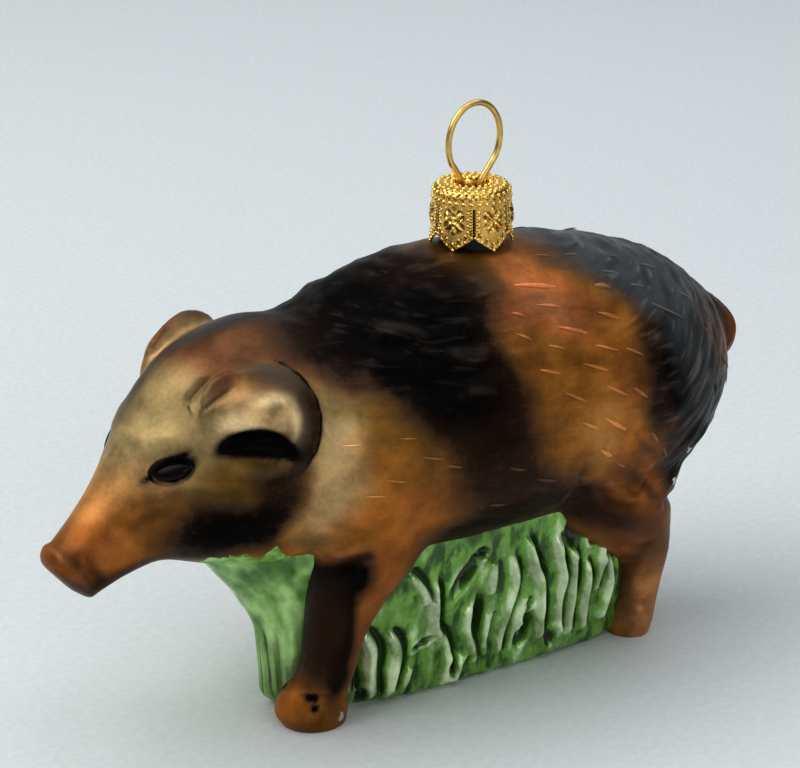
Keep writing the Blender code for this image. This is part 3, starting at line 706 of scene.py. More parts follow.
# Sprayed patches in the order they are laid: paint, middle (x, z), reach (x, z), lean in degrees, strength
# and softness of the edge, and for one that doesn't run right across the body its middle and reach (y, y)
WARM_COAT = [
    ("khaki", (-38.5, 43.4), (8.5, 10.4), 0, 1.0, 0.5),
    ("beige", (-42.6, 38.6), (2.6, 3.4), 40, 0.45, 0.8),
    ("beige", (-35.6, 41.8), (1.8, 3.6), 0, 0.5, 0.8),
    ("beige", (-38.6, 37.4), (3.6, 1.0), 10, 0.4, 0.9),
    ("copper", (-48.6, 28.0), (12.5, 6.4), 36, 1.0, 0.45),
    ("ochre", (-40.5, 31.6), (6.0, 3.0), 10, 0.7, 0.7),
    # painted highlight along the top of the muzzle
    ("amber", (-47.4, 34.8), (5.4, 1.2), 44, 0.55, 0.8),
    ("chestnut", (-48.0, 29.8), (5.0, 2.2), 36, 0.8, 0.8),
    ("chestnut", (-52.0, 28.0), (1.6, 3.6), 14, 0.75, 0.6),
    ("chestnut", (-44.5, 32.6), (3.0, 0.9), 30, 0.5, 0.9),
    ("chestnut", (-27.2, 52.4), (10.0, 4.6), 14, 0.97, 0.5),
    ("smoke", (-26.4, 51.6), (9.0, 3.8), 14, 0.5, 0.8),
    ("khaki", (-35.6, 48.6), (2.6, 2.6), 30, 0.8, 0.9),
    ("olive", (-31.6, 38.6), (4.6, 4.4), 0, 0.95, 0.6),
    ("olive", (-37.2, 35.4), (6.0, 1.6), 8, 0.5, 0.8),
    ("khaki", (-18.4, 43.0), (5.4, 8.0), -8, 1.0, 0.6),
    ("beige", (-18.8, 39.0), (4.2, 5.6), -8, 0.85, 0.7),
    ("olive", (-15.8, 45.6), (4.4, 1.2), -4, 0.6, 0.8),
    ("chestnut", (-18.0, 50.0), (5.4, 2.2), -20, 0.8, 0.8),
    ("beige", (-20.6, 33.0), (3.6, 5.4), -8, 0.8, 0.7),
    ("ochre", (-11.0, 37.0), (6.4, 8.0), 8, 0.95, 0.5),
    ("olive", (-9.6, 36.6), (3.4, 4.6), 10, 0.5, 0.9),
    ("olive", (-11.6, 42.8), (4.4, 2.8), -20, 0.75, 0.7),
    ("copper", (-11.0, 29.6), (8.4, 4.6), 0, 0.9, 0.6),
    ("chestnut", (-9.0, 33.4), (2.4, 2.0), -20, 0.7, 0.6),
    ("chestnut", (-10.4, 22.4), (4.2, 4.2), 0, 0.75, 0.6),
    ("olive", (-19.0, 28.0), (4.4, 1.3), -8, 0.6, 0.8),
    ("ochre", (15.0, 42.0), (15.0, 16.0), 10, 1.0, 0.35),
    ("orange", (12.0, 54.4), (8.0, 4.0), -24, 0.9, 0.6),
    ("flesh", (13.4, 53.4), (3.4, 1.4), -24, 0.6, 0.8),
    ("chestnut", (8.4, 52.8), (2.4, 4.0), 10, 0.6, 0.8),
    ("chestnut", (18.5, 53.0), (5.0, 2.2), -24, 0.5, 0.8),
    ("olive", (5.4, 57.8), (5.4, 2.4), -8, 0.9, 0.5),
    ("olive", (14.0, 48.6), (8.0, 1.8), -22, 0.5, 0.8),
    ("copper", (20.0, 47.0), (5.0, 2.4), -24, 0.5, 0.8),
    ("amber", (19.0, 37.0), (4.8, 3.2), -30, 0.3, 0.8),
    ("amber", (19.5, 33.4), (3.4, 2.0), -34, 0.35, 0.8),
    ("chestnut", (23.6, 43.0), (2.4, 4.0), 0, 0.6, 0.8),
    ("copper", (26.0, 31.4), (5.4, 4.0), -40, 0.8, 0.6),
    ("chestnut", (27.6, 24.0), (9.0, 8.0), -30, 0.95, 0.45),
    ("copper", (25.6, 25.2), (5.4, 1.6), -40, 0.5, 0.8),
    ("chestnut", (51.6, 40.5), (3.4, 10.5), 0, 1.0, 0.40),
    ("copper", (51.4, 40.4), (1.4, 3.4), 0, 0.7, 0.8),
    ("chestnut", (33.4, 12.0), (6.0, 4.4), 0, 0.7, 0.6),
    ("flesh", (33.6, 5.4), (5.6, 6.4), 0, 0.9, 0.5),
    ("chestnut", (-17.0, 15.5), (8.0, 11.5), 0, 0.95, 0.3),
    ("copper", (-12.6, 20.0), (2.6, 6.0), -22, 0.5, 0.7),
    ("copper", (-19.2, 1.6), (7.4, 4.1), 0, 1.0, 0.08),
    ("chestnut", (-18.0, 0.2), (6.0, 1.4), 0, 0.8, 0.7),
    ("olive", (-18.8, 1.8), (4.6, 2.6), 0, 0.55, 0.8),
]
DARK_COAT = [
    # painted shade along the head's ridge, on its right side only
    ("umber", (-36.0, 50.4), (12.5, 4.0), 40, 0.85, 0.6, (4.4, 2.6)),
    ("slate", (-24.5, 55.0), (11.0, 3.0), 6, 0.95, 0.6, (2.4, 3.2)),
    ("soot", (-15.0, 53.6), (7.0, 3.6), 14, 0.9, 0.6),
    ("umber", (-18.6, 52.4), (5.0, 2.4), -24, 0.7, 0.8),
    ("umber", (-40.0, 26.6), (12.0, 1.8), 6, 0.8, 0.5),
    ("umber", (-38.0, 30.0), (4.4, 2.6), 14, 0.7, 0.9),
    ("umber", (-36.2, 30.4), (4.8, 3.2), 14, 0.75, 0.8),
    ("umber", (-33.0, 33.6), (7.0, 2.8), -2, 0.6, 0.8),
    ("umber", (-26.9, 35.8), (2.7, 6.4), -6, 0.92, 0.6),
    ("umber", (-25.4, 40.8), (1.8, 2.6), 20, 0.8, 0.8),
    ("soot", (-28.4, 39.0), (1.6, 2.6), 20, 0.6, 0.9),
    ("soot", (-27.4, 31.8), (2.0, 3.4), -12, 0.8, 0.7),
    ("soot", (-32.2, 31.3), (6.2, 3.4), -4, 1.0, 0.6),
    ("umber", (-38.6, 36.5), (4.6, 0.7), 4, 0.45, 0.9),
    ("umber", (-41.6, 34.2), (2.2, 0.8), 20, 0.5, 0.9),
    # painted shade in the hollow behind the snout's disc, at the nostril
    ("umber", (-50.2, 28.2), (0.9, 1.6), 20, 0.7, 0.9),
    ("umber", (-48.4, 26.0), (1.4, 0.7), -50, 0.5, 0.9),
    ("umber", (-49.8, 24.6), (3.4, 1.3), -34, 0.9, 0.7),
    ("umber", (-45.6, 25.2), (3.4, 1.0), 24, 0.7, 0.8),
    ("umber", (-5.0, 54.6), (13.0, 6.4), 6, 0.98, 0.5),
    ("umber", (-2.0, 45.6), (8.4, 6.4), 0, 0.95, 0.5),
    ("umber", (0.6, 43.0), (6.8, 6.0), 10, 0.95, 0.5),
    ("umber", (2.4, 36.0), (8.4, 10.5), 14, 0.94, 0.6),
    ("soot", (1.4, 41.0), (4.0, 5.0), 14, 0.5, 0.8),
    ("soot", (-6.6, 52.6), (11.6, 6.2), 10, 1.0, 0.5),
    ("soot", (-3.4, 46.4), (6.8, 5.2), 0, 1.0, 0.5),
    ("umber", (9.6, 29.0), (9.6, 5.0), -28, 0.92, 0.6),
    ("umber", (6.5, 24.6), (15.0, 4.4), 2, 0.96, 0.45),
    ("soot", (4.0, 26.6), (8.0, 1.6), 0, 0.6, 0.8),
    ("slate", (34.0, 56.0), (18.5, 7.0), -22, 0.97, 0.40),
    ("slate", (39.0, 43.0), (12.2, 16.0), 14, 0.97, 0.36),
    ("umber", (27.6, 45.0), (2.4, 6.0), 10, 0.75, 0.8),
    ("soot", (30.6, 41.6), (4.4, 4.6), 0, 0.9, 0.7),
    ("umber", (28.2, 37.6), (2.2, 4.4), 14, 0.8, 0.7),
    ("umber", (32.2, 30.2), (2.6, 5.4), 10, 0.85, 0.6),
    ("soot", (37.0, 31.0), (3.4, 5.0), 14, 0.8, 0.7),
    ("steel", (31.0, 54.0), (13.0, 3.6), -26, 0.85, 0.7),
    ("steel", (37.0, 46.4), (4.0, 5.4), -20, 0.8, 0.8),
    ("steel", (36.4, 38.4), (1.6, 3.4), 20, 0.4, 0.9),
    ("smoke", (42.4, 44.6), (3.4, 4.0), 20, 0.75, 0.8),
    ("chestnut", (45.4, 41.6), (2.6, 2.0), 0, 0.85, 0.8),
    ("smoke", (43.4, 38.6), (2.4, 5.0), 10, 0.5, 0.8),
    ("soot", (35.4, 25.0), (3.4, 4.0), 15, 0.85, 0.6),
    ("umber", (22.6, 22.6), (6.0, 1.6), -34, 0.85, 0.7),
    ("umber", (30.4, 19.0), (5.0, 2.4), -34, 0.6, 0.8),
    ("umber", (25.4, 27.6), (3.6, 0.8), -40, 0.6, 0.9),
    ("umber", (26.6, 32.6), (4.0, 0.7), -52, 0.6, 0.9),
    ("umber", (28.8, 24.6), (3.4, 0.7), -48, 0.6, 0.9),
    ("umber", (15.6, 30.4), (0.6, 2.2), 10, 0.6, 0.8),
    ("umber", (18.2, 26.2), (3.6, 2.0), -34, 0.8, 0.7),
    ("umber", (33.6, 13.4), (3.6, 2.4), -20, 0.5, 0.9),
    ("umber", (30.6, 8.0), (1.0, 7.0), 0, 0.7, 0.8),
    ("soot", (-18.2, 22.4), (3.6, 3.4), 8, 1.0, 0.5),
    ("soot", (-18.6, 17.0), (2.4, 7.0), 0, 0.95, 0.45),
    ("soot", (-17.6, 9.0), (1.7, 6.0), -6, 1.0, 0.5),
    ("umber", (-20.0, 13.5), (2.6, 9.6), 0, 0.95, 0.6),
    ("umber", (-16.4, 8.0), (1.0, 4.2), 0, 0.45, 0.8),
    ("soot", (-21.3, 4.4), (0.95, 0.60), 10, 1.0, 0.4),
    ("soot", (-21.2, 3.0), (0.65, 0.70), 0, 1.0, 0.4),
]
# The same on the ear, in shares of its length up and its width across: paint, middle, reach, softness and
# strength
EAR_COAT = [
    ("khaki", (0.0, 0.0), (1.2, 1.2), 0.2, 0.9),
    ("chestnut", (0.86, -0.30), (0.20, 0.60), 0.7, 0.5),
    ("olive", (-0.75, -0.30), (0.44, 0.70), 0.5, 0.95),
    ("amber", (0.56, -0.40), (0.26, 0.50), 0.8, 0.6),
    ("copper", (0.62, 0.10), (0.16, 0.46), 0.8, 0.6),
    ("beige", (0.16, -0.08), (0.44, 0.74), 0.45, 1.0),
    # the three cream patches are painted highlights round the pad, the khaki spot in its dimple painted shade
    ("cream", (0.10, -0.55), (0.14, 0.34), 0.8, 0.9),
    ("cream", (0.44, 0.16), (0.10, 0.34), 0.8, 0.9),
    ("cream", (0.12, 0.52), (0.34, 0.10), 0.8, 1.0),
    ("khaki", (0.24, 0.21), (0.13, 0.14), 0.8, 0.8),
]
# And round the eye, in millimetres: middle, reach, lean, strength, softness; the first, soft one over the
# eye is painted shade under the brow
EYE_COAT = [
    ((-38.3, 41.2), (3.3, 1.3), 34, 0.45, 0.8),
    ((-38.3, 40.0), (1.8, 1.20), 30, 1.0, 0.30),
    ((-38.7, 41.0), (2.7, 0.60), 34, 1.0, 0.40),
    ((-36.9, 41.1), (1.0, 0.80), 40, 0.9, 0.60),
    ((-39.2, 39.0), (1.0, 0.55), -10, 1.0, 0.30),
    ((-41.0, 38.9), (1.3, 0.36), 40, 0.95, 0.6),
]
# Chips where the paint is gone and the silvering shows: (x, z), reach (x, z), lean
CHIP_REACH = 4.0
CHIPS = [
    ((36.6, 28.8), (1.0, 0.45), -40),
    ((34.2, 24.8), (0.8, 0.5), -50),
    ((-21.9, 21.6), (0.45, 1.5), 6),
    ((-16.8, 1.5), (0.5, 0.7), 0),
]
# Height up to which green has run up the throat, from the front backwards, and the stretch where it shows
THROAT_FRONT, THROAT_REAR, THROAT_FOOT = -33.8, -21.9, 15.0
THROAT_REACH = 9.0
THROAT_LINE = [(-37.0, 26.2), (-33.0, 26.5), (-28.6, 26.5), (-28.0, 25.7), (-27.0, 25.7), (-26.2, 28.1),
               (-24.5, 26.0), (-22.8, 25.2), (-22.3, 24.0), (-21.9, 10.0)]


def oval(place, middle, reach, lean):
    """Distance of each (x, z) place from the middle of a leaning oval, 1 at its edge."""
    turn = math.radians(lean)
    away = place - middle
    along = away[:, 0] * math.cos(turn) + away[:, 1] * math.sin(turn)
    across = away[:, 1] * math.cos(turn) - away[:, 0] * math.sin(turn)
    return np.hypot(along / reach[0], across / reach[1])


def spray(points, coat, base):
    """Lays a coat's patches over each other; gives the colour and how much of the surface it covers."""
    colour = np.tile(PAINTS[base], (len(points), 1)).astype(float)
    cover = np.zeros(len(points))
    drift = np.stack([grain(points, 6.0), grain(points + 17.0, 6.0)], axis=-1) * 1.2
    drift += np.stack([grain(points + 40.0, 1.8), grain(points + 60.0, 1.8)], axis=-1) * 0.3
    right = points[:, 1] > 0
    for paint, middle, reach, lean, strength, softness, *width in coat:
        limb = 0
        if middle[1] < 24:
            limb = RIGHT_FORE_SHIFT if middle[0] < -10 else RIGHT_HIND_SHIFT if middle[0] > 20 else 0
        place = points[:, [0, 2]] + drift
        place[:, 0] -= np.where(right, limb, 0)
        distance = oval(place, middle, reach, lean)
        for y, y_reach in width:
            distance = np.hypot(distance, (points[:, 1] - y) / y_reach)
        amount = strength * (1 - smoothstep(1 - softness, 1 + softness, distance))
        colour += (PAINTS[paint] - colour) * amount[:, None]
        cover += (1 - cover) * amount
    return colour, cover


def paint_ears(points, warm, dark, cover):
    """The ears' own paint: a smoky rim that is painted reflection, a cream pad with an amber corner and
    painted highlights, the black hollow with painted shade in and under it, painted shade down the right
    side, an olive lobe. It changes both coats and the cover, and gives how far out each point lies and how
    strong the painted shade line in the crease at the rim is."""
    up, across, height = ear_place(points).T
    reach = np.hypot(up, across)
    turn = np.degrees(np.arctan2(across, up))
    rim_reach = reach / ear_outline(np.radians(turn))
    on_ear = (1 - smoothstep(1.0, 1.10, rim_reach)) * smoothstep(-2.6, -1.2, height)
    rear = smoothstep(-30, 10, turn) * (1 - smoothstep(96, 124, turn))
    faded = np.maximum(1 - smoothstep(0.66, 0.98, reach), rear)
    low_right = smoothstep(88, 112, turn) * smoothstep(0.60, 0.74, reach)
    on_ear_warm = on_ear * np.where(reach < 0.66, 1 - low_right, faded)

    def lay(colour, paint, amount, where):
        colour += (PAINTS[paint] - colour) * (amount * where)[:, None]

    def patch(middle, size, softness):
        away = np.hypot((up - middle[0]) / size[0], (across - middle[1]) / size[1])
        return 1 - smoothstep(1 - softness, 1 + softness, away)

    for paint, middle, size, softness, strength in EAR_COAT:
        lay(warm, paint, strength * patch(middle, size, softness), on_ear_warm)
    # rim: smoke round the rim, painted reflection; right_rim_shade: umber down the right side, and shade:
    # umber under the hollow, both painted shade; black: soot in the hollow, the ear's black paint with
    # painted shade
    rim = smoothstep(0.50, 0.74, rim_reach) * smoothstep(-34, 10, turn) * (1 - smoothstep(120, 160, turn))
    black = 1 - smoothstep(0.80, 1.10, np.hypot(ear_arch(up, across) / 0.29, (across + 0.10) / 0.80))
    shade = patch((-0.56, 0.22), (0.34, 0.50), 1.0) * 0.5 * (1 - smoothstep(0.70, 1.0, rim_reach))
    right_rim_shade = smoothstep(35, 75, turn) * (1 - smoothstep(125, 160, turn))
    right_rim_shade = right_rim_shade * smoothstep(0.62, 0.90, rim_reach)
    for paint, amount in (("smoke", rim), ("umber", right_rim_shade), ("umber", shade), ("soot", black)):
        lay(dark, paint, amount, on_ear)
    own_cover = np.maximum.reduce([rim * 0.94, shade, black])
    cover[:] = cover * (1 - on_ear_warm) + own_cover * on_ear
    behind = (1 - smoothstep(1.12, 1.30, reach)) * (1 - smoothstep(-1.3, -0.3, height))
    behind = behind * (points[:, 1] > 0)
    lay(warm, "beige", 0.75, behind * smoothstep(-3.4, -2.2, height))
    cover *= 1 - 0.85 * behind
    # where the painted shade line runs in the crease round the rim
    line = smoothstep(4, 24, turn) * (1 - smoothstep(118, 150, turn))
    line = np.maximum(line, 0.85 * smoothstep(-84, -72, turn) * (1 - smoothstep(4, 24, turn)))
    return rim_reach, line * (height > -3.0)


def paint_eyes(points, dark, cover):
    """Black sprayed round each eye and drawn out in front to the tear duct, with painted shade under the
    brow.
    """
    for middle, reach, lean, strength, softness in EYE_COAT:
        away = oval(points[:, [0, 2]], middle, reach, lean)
        amount = strength * (1 - smoothstep(1 - softness, 1 + softness, away))
        dark += (PAINTS["soot"] - dark) * amount[:, None]
        np.maximum(cover, amount, out=cover)


def paint_boar(mesh, whole=False):
    """Keeps both coats on a mesh; the whole skin also gets the painted shade line at the ear's rim, the
    green's edge and the chips.
    """
    points = read_points(mesh)
    warm, _ = spray(points, WARM_COAT, "ochre")
    dark, cover = spray(points, DARK_COAT, "umber")
    rim_reach, line = paint_ears(points, warm, dark, cover)
    paint_eyes(points, dark, cover)
    keep_attribute(mesh, "warm_coat", warm)
    keep_attribute(mesh, "dark_coat", dark)
    keep_attribute(mesh, "cover", cover)
    keep_attribute(mesh, "hair_flow", hair_flow(points))
    keep_attribute(mesh, "hair_growth", hair_growth(points))
    if not whole:
        keep_attribute(mesh, "chip", np.full(len(points), CHIP_REACH))
        keep_attribute(mesh, "throat", np.full(len(points), -1.0))
        return
    keep_attribute(mesh, "ear_reach", rim_reach)
    keep_attribute(mesh, "ear_crease_shade", line)
    x, _, z = points.T
    on_throat = (x > THROAT_FRONT) & (x < THROAT_REAR) & (z > THROAT_FOOT)
    throat = np.where(on_throat, np.interp(x, *np.array(THROAT_LINE).T) - z, -THROAT_REACH)
    keep_attribute(mesh, "throat", np.clip(throat, -THROAT_REACH, THROAT_REACH) / THROAT_REACH)
    chips = np.min([oval(points[:, [0, 2]], *chip) for chip in CHIPS], axis=0)
    keep_attribute(mesh, "chip", np.clip(chips, 0, CHIP_REACH))


# ---------------------------------------------------------------- the grass

def grass_height(place, points):
    """Relief of the tuft's face at each (x, z) place, and its painted shade: blades, dark edges between them,
    hollows.
    """
    x, z = place.T
    blades = smoothstep(-17.5, -14.5, x)
    height = 0.42 * grain(points, (1.9, 1.9, 8.0)) + 0.14 * grain(points + 9.0, (0.8, 0.8, 6.0))
    height *= blades
    dark = np.zeros(len(place))
    for depth, line in BLADES:
        low, high = np.min(line, axis=0) - 3.5, np.max(line, axis=0) + 3.5
        near = np.all((place > low) & (place < high), axis=1)
        away, side, along = follow(place[near], line)
        fade = smoothstep(0, 0.14, along) * (1 - smoothstep(0.90, 1.0, along))
        signed = away * side
        groove = np.exp(-(away / np.where(signed > 0, 0.50, 0.26)) ** 2)
        blade = np.exp(-((signed + 1.05) / 0.72) ** 2)
        height[near] += depth * fade * (0.95 * blade - 1.0 * groove)
        dark[near] = np.maximum(dark[near], 1.3 * depth * fade * np.exp(-(away / 0.24) ** 2))
    for x_middle, z_middle, half_width, half_height, lean, depth in GRASS_HOLLOWS:
        away = oval(place, (x_middle, z_middle), (half_width, half_height), lean)
        height -= depth * np.exp(-away ** 2.6) - 0.35 * np.exp(-((away - 1.7) / 0.45) ** 2)
        dark = np.maximum(dark, 1.1 * np.exp(-(away / 0.85) ** 3))
    under_belly = smoothstep(20.5, 23.5, z)
    return height * (1 - 0.7 * under_belly), dark * (1 - 0.5 * under_belly)


def web_height(points):
    """The smooth web in front: soft upright folds, and fine ribs in a strip low down beyond the bow, with
    painted shade in their troughs.
    """
    x, y, z = points.T
    folds = 0.32 * grain(points + 5.0, (2.2, 2.0, 16.0)) + 0.10 * grain(points, (0.9, 0.9, 12.0))
    ribs = np.sin(y * 2 * math.pi / 1.1 + 1.5 * grain(points, (3.0, 3.0, 9.0)))
    ribbed = smoothstep(-3.6, -1.6, y) * (1 - smoothstep(10, 13, z)) * smoothstep(0.8, 2.0, z)
    return folds + 0.12 * ribs * ribbed, 0.85 * smoothstep(0.55, 0.95, -ribs) * ribbed


def grass():
    """Blown tuft under the belly: a grid round its plan, pressed into blades and flared up to the throat."""
    dense = np.linspace(0, len(GRASS_ROWS) - 1 + 0.46, 400)
    profile = blend_rows(GRASS_ROWS, dense)
    z = np.linspace(-0.6, 26.6, GRASS_LEVELS)
    front, rear, half_width = (np.interp(z, profile[:, 0], column) for column in profile.T[1:])

    def outline(angle, level):
        middle, half_length = (front[level] + rear[level]) / 2, (rear[level] - front[level]) / 2
        x = middle + half_length * signed_power(np.cos(angle), 2 / GRASS_FULLNESS)
        bow = np.sqrt(np.clip((x - front[level]) / GRASS_BOW + GRASS_BLUNTNESS, 0, 1))
        y = half_width[level] * bow * signed_power(np.sin(angle), 2 / GRASS_FULLNESS)
        return np.stack([x, y], axis=-1)

    fine = np.linspace(0, 2 * math.pi, 20001)
    walked = np.concatenate([[0], np.cumsum(np.hypot(*np.diff(outline(fine, GRASS_LEVELS // 2), axis=0).T))])
    angle = np.interp(np.linspace(0, walked[-1], GRASS_COLUMNS, endpoint=False), walked, fine)
    plan = np.array([outline(angle, level) for level in range(GRASS_LEVELS)])
    for _ in range(6):                  # rounds the plan's corners, so the face has no kinks
        plan = (np.roll(plan, 1, axis=1) + 2 * plan + np.roll(plan, -1, axis=1)) / 4
    tangent = np.roll(plan, -1, axis=1) - np.roll(plan, 1, axis=1)
    tangent /= np.linalg.norm(tangent, axis=2, keepdims=True)
    out = np.stack([tangent[..., 1], -tangent[..., 0]], axis=-1)
    points = np.concatenate([plan, np.broadcast_to(z[:, None, None], plan.shape[:2] + (1,))], axis=2)
    points = points.reshape(-1, 3)
    left = points[:, 1] < 0
    along = np.where(left, points[:, 0], 2 * GRASS_MIDDLE - points[:, 0])
    place = np.stack([along, points[:, 2]], axis=-1)
    height, dark = grass_height(place, points)
    out = out.reshape(-1, 2)
    on_side = smoothstep(0.25, 0.75, np.abs(out[:, 1]))
    in_web = 1 - smoothstep(-17.5, -14.5, points[:, 0])
    rear_end = 1 - on_side
    folds, ribs = web_height(points)
    height = height * on_side * (1 - in_web) + folds * in_web
    height += 0.35 * grain(points, (1.5, 1.2, 8.0)) * rear_end * (1 - in_web)
    dark = dark * on_side * (1 - in_web) + ribs * in_web
    flare = np.interp(points[:, 0], (-30, -27, -23.5, -21), (1.3, 1.0, 0.2, 0.0))
    height += flare * smoothstep(14, 28, points[:, 2]) ** 1.3
    points[:, :2] += out * height[:, None]
    points[:, 2] = np.maximum(points[:, 2], 0)
    mesh = tube_mesh("grass_blades", points.reshape(GRASS_LEVELS, GRASS_COLUMNS, 3))
    mesh.shade_smooth()
    # painted shade in the grooves, the hollows and the ribs' troughs; the raised height below drives painted
    # highlight
    keep_attribute(mesh, "pressed", np.clip(dark, 0, 1))
    keep_attribute(mesh, "raised", np.clip(0.5 + height * 0.75 * (1 - in_web) - 0.05, 0, 1))
    keep_attribute(mesh, "web", in_web)
    return add_object("grass_blades", mesh)


# ---------------------------------------------------------------- cap and hanger

def cap_line(rows):
    """Radius and z down the cap's sheet, from inside the mouth, over the shoulder, to the slit's top."""
    inner = [(2.15, 65.5), (2.25, 66.4), (2.5, 66.95)]
    return smooth_line(inner + CAP_PROFILE[1:-1] + [(CAP_PROFILE[-1][0], CAP_SLIT_TOP)], rows)


def cap_emboss(turn, radius, z):
    """Stamped height on a petal: a flower of crossing leaves, ticks beside the slits, lumps along the tip."""
    across = np.radians(turn) * radius
    up = z - CAP_FLOWER_Z
    height = np.zeros(np.broadcast(turn, z).shape)

    def from_middle(lean):
        cos, sin = math.cos(math.radians(lean)), math.sin(math.radians(lean))
        return across * cos + up * sin, np.abs(up * cos - across * sin)

    for lean in (45, 135, 225, 315):
        along, off = from_middle(lean)
        length = smoothstep(0.12, 0.45, along) * (1 - smoothstep(1.25, 1.75, along))
        rib = 0.30 * np.sqrt(np.clip(1 - (off / 0.24) ** 2, 0, 1))
        height += length * (rib - 0.20 * np.exp(-((off - 0.42) / 0.13) ** 2))
    for lean, length in ((0, 1.3), (90, 1.9), (180, 1.3), (270, 1.7)):
        along, off = from_middle(lean)
        lobe = np.clip(1 - (off / 0.42) ** 2 - ((along - 0.55 * length) / (0.45 * length)) ** 2, 0, 1)
        height += 0.16 * np.sqrt(lobe)
    edge = np.abs(turn) / (180 / CAP_PETALS - CAP_SLIT_ANGLE / 2)
    beside_slit = smoothstep(0.80, 0.86, edge) * (1 - smoothstep(0.95, 1.0, edge))
    ticked = smoothstep(CAP_TIP + 1.6, CAP_TIP + 2.2, z)
    ticked = ticked * (1 - smoothstep(CAP_SLIT_TOP + 0.4, CAP_SLIT_TOP + 0.9, z))
    height += beside_slit * ticked * 0.13 * np.sin(z * 2 * math.pi / 0.40)
    foot = CAP_TIP + CAP_NOTCH * edge
    height += 0.14 * np.sin(across * 2 * math.pi / 0.9) * np.exp(-((z - foot - 0.75) / 0.28) ** 2)
    over_wall = smoothstep(CAP_SLIT_TOP + 0.5, CAP_SLIT_TOP + 1.5, z)
    rounds = 0.12 * np.sin(np.radians(turn) * 34) * np.sin(z * 2 * math.pi / 0.85)
    return height * (1 - over_wall) + rounds * over_wall


def cap():
    """Stamped cap of thin sheet: open mouth, rounded shoulder and six pointed petals parted by slits."""
    pitch = 360.0 / CAP_PETALS
    half = pitch / 2 - CAP_SLIT_ANGLE * 0.36
    turn = np.linspace(-half, half, CAP_COLUMNS)
    top = cap_line(CAP_TOP_ROWS)
    points, dark = [], []
    for petal in range(CAP_PETALS):
        middle = CAP_TURN + pitch * (petal + 0.5)
        foot = CAP_TIP + CAP_NOTCH * np.abs(turn) / (pitch / 2)
        foot = foot + 0.25 * smoothstep(0.25, 0.0, np.abs(turn) / half)
        share = np.linspace(0, 1, CAP_WALL_ROWS + 1)[1:, None]
        wall_z = CAP_SLIT_TOP + (foot - CAP_SLIT_TOP) * share
        wall_radius = np.broadcast_to(CAP_PROFILE[-1][0] + CAP_FLARE * share, wall_z.shape)
        radius = np.vstack([np.repeat(top[:, :1], CAP_COLUMNS, 1), wall_radius])
        z = np.vstack([np.repeat(top[:, 1:], CAP_COLUMNS, 1), wall_z])
        outer = smoothstep(*CAP_EMBOSSED_FROM, radius)
        embossed = cap_emboss(turn[None, :], radius, z) * outer
        radius = radius + embossed
        # painted shade in the stamped hollows
        dark.append(np.clip(0.30 - embossed / 0.22, 0, 1) * outer)
        angle = np.radians(middle + turn)[None, :]
        points.append(np.stack([PIKE_X + radius * np.cos(angle), radius * np.sin(angle), z], axis=-1))
    grid = np.concatenate(points, axis=1)
    rows, columns = grid.shape[:2]
    corner = np.arange(rows * columns).reshape(rows, columns)
    after = np.roll(corner, -1, axis=1)
    faces = np.stack([corner[:-1], corner[1:], after[1:], after[:-1]], axis=-1)
    at_slit = (np.arange(columns) % CAP_COLUMNS) == CAP_COLUMNS - 1
    open_cells = (np.arange(rows - 1)[:, None] >= CAP_TOP_ROWS - 1) & at_slit[None, :]
    mesh = bpy.data.meshes.new("cap_sheet")
    mesh.from_pydata((grid.reshape(-1, 3) * MM).tolist(), [], faces[~open_cells].tolist())
    turn_outwards(mesh)
    mesh.shade_smooth()
    keep_attribute(mesh, "pressed", np.concatenate(dark, axis=1).ravel())
    piece = add_object("cap_sheet", mesh)
    sheet = piece.modifiers.new("Sheet", "SOLIDIFY")
    sheet.thickness = CAP_SHEET * MM
    sheet.offset = -1.0
    return plain_mesh(piece)


# Rings of beads on the cap's top: radius, z, how many, lean outwards (radians), size, first one's turn
BEAD_RINGS = [
    (2.55, 67.0, 18, 1.1, (0.30, 0.31, 0.42), 0.0),
    (3.40, 67.17, 22, 1.4, (0.33, 0.33, 0.20), 0.1),
    (4.40, 67.02, 28, 1.1, (0.34, 0.36, 0.26), 0.0),
    (5.00, 66.35, 30, 0.5, (0.32, 0.40, 0.30), 0.08),
    (5.15, 65.45, 32, 0.0, (0.28, 0.42, 0.24), 0.0),
]


def bead_spots():
    """Where the cap's raised beads sit: place, direction outwards, and size, in millimetres."""
    spots = []

    def ring(radius, z, count, lean, size, start):
        for turn in turns(count) + start:
            flat = np.array((math.cos(turn), math.sin(turn), 0.0))
            out = flat * math.cos(lean) + np.array((0, 0, math.sin(lean)))
            spots.append((flat * radius + (PIKE_X, 0, z), out, size))

    for row in BEAD_RINGS:
        ring(*row)
    pitch = 2 * math.pi / CAP_PETALS
    for petal in range(CAP_PETALS):
        middle = math.radians(CAP_TURN) + pitch * (petal + 0.5)
        marks = [(side * 0.74, z, 0.24) for side in (-1, 1) for z in (64.3, 63.45, 62.6, 61.75)]
        for share in (-0.9, -0.6, -0.3, 0.0, 0.3, 0.6, 0.9):
            marks.append((share, CAP_TIP + CAP_NOTCH * abs(share) + 0.28, 0.27))
        for share in (-0.62, -0.31, 0.0, 0.31, 0.62):
            marks.append((share, CAP_TIP + CAP_NOTCH * abs(share) + 1.15, 0.23))
        marks += [(-0.42, 64.75, 0.22), (0.42, 64.75, 0.22), (0.0, CAP_FLOWER_Z, 0.20)]
        for share, z, girth in marks:
            turn = middle + share * pitch / 2
            flat = np.array((math.cos(turn), math.sin(turn), 0.0))
            radius = 5.1 + CAP_FLARE * np.clip((CAP_SLIT_TOP - z) / 5.3, 0, 1)
            spots.append((flat * (radius + BEAD_LIFT) + (PIKE_X, 0, z), flat, (girth, girth, 0.22)))
    return spots


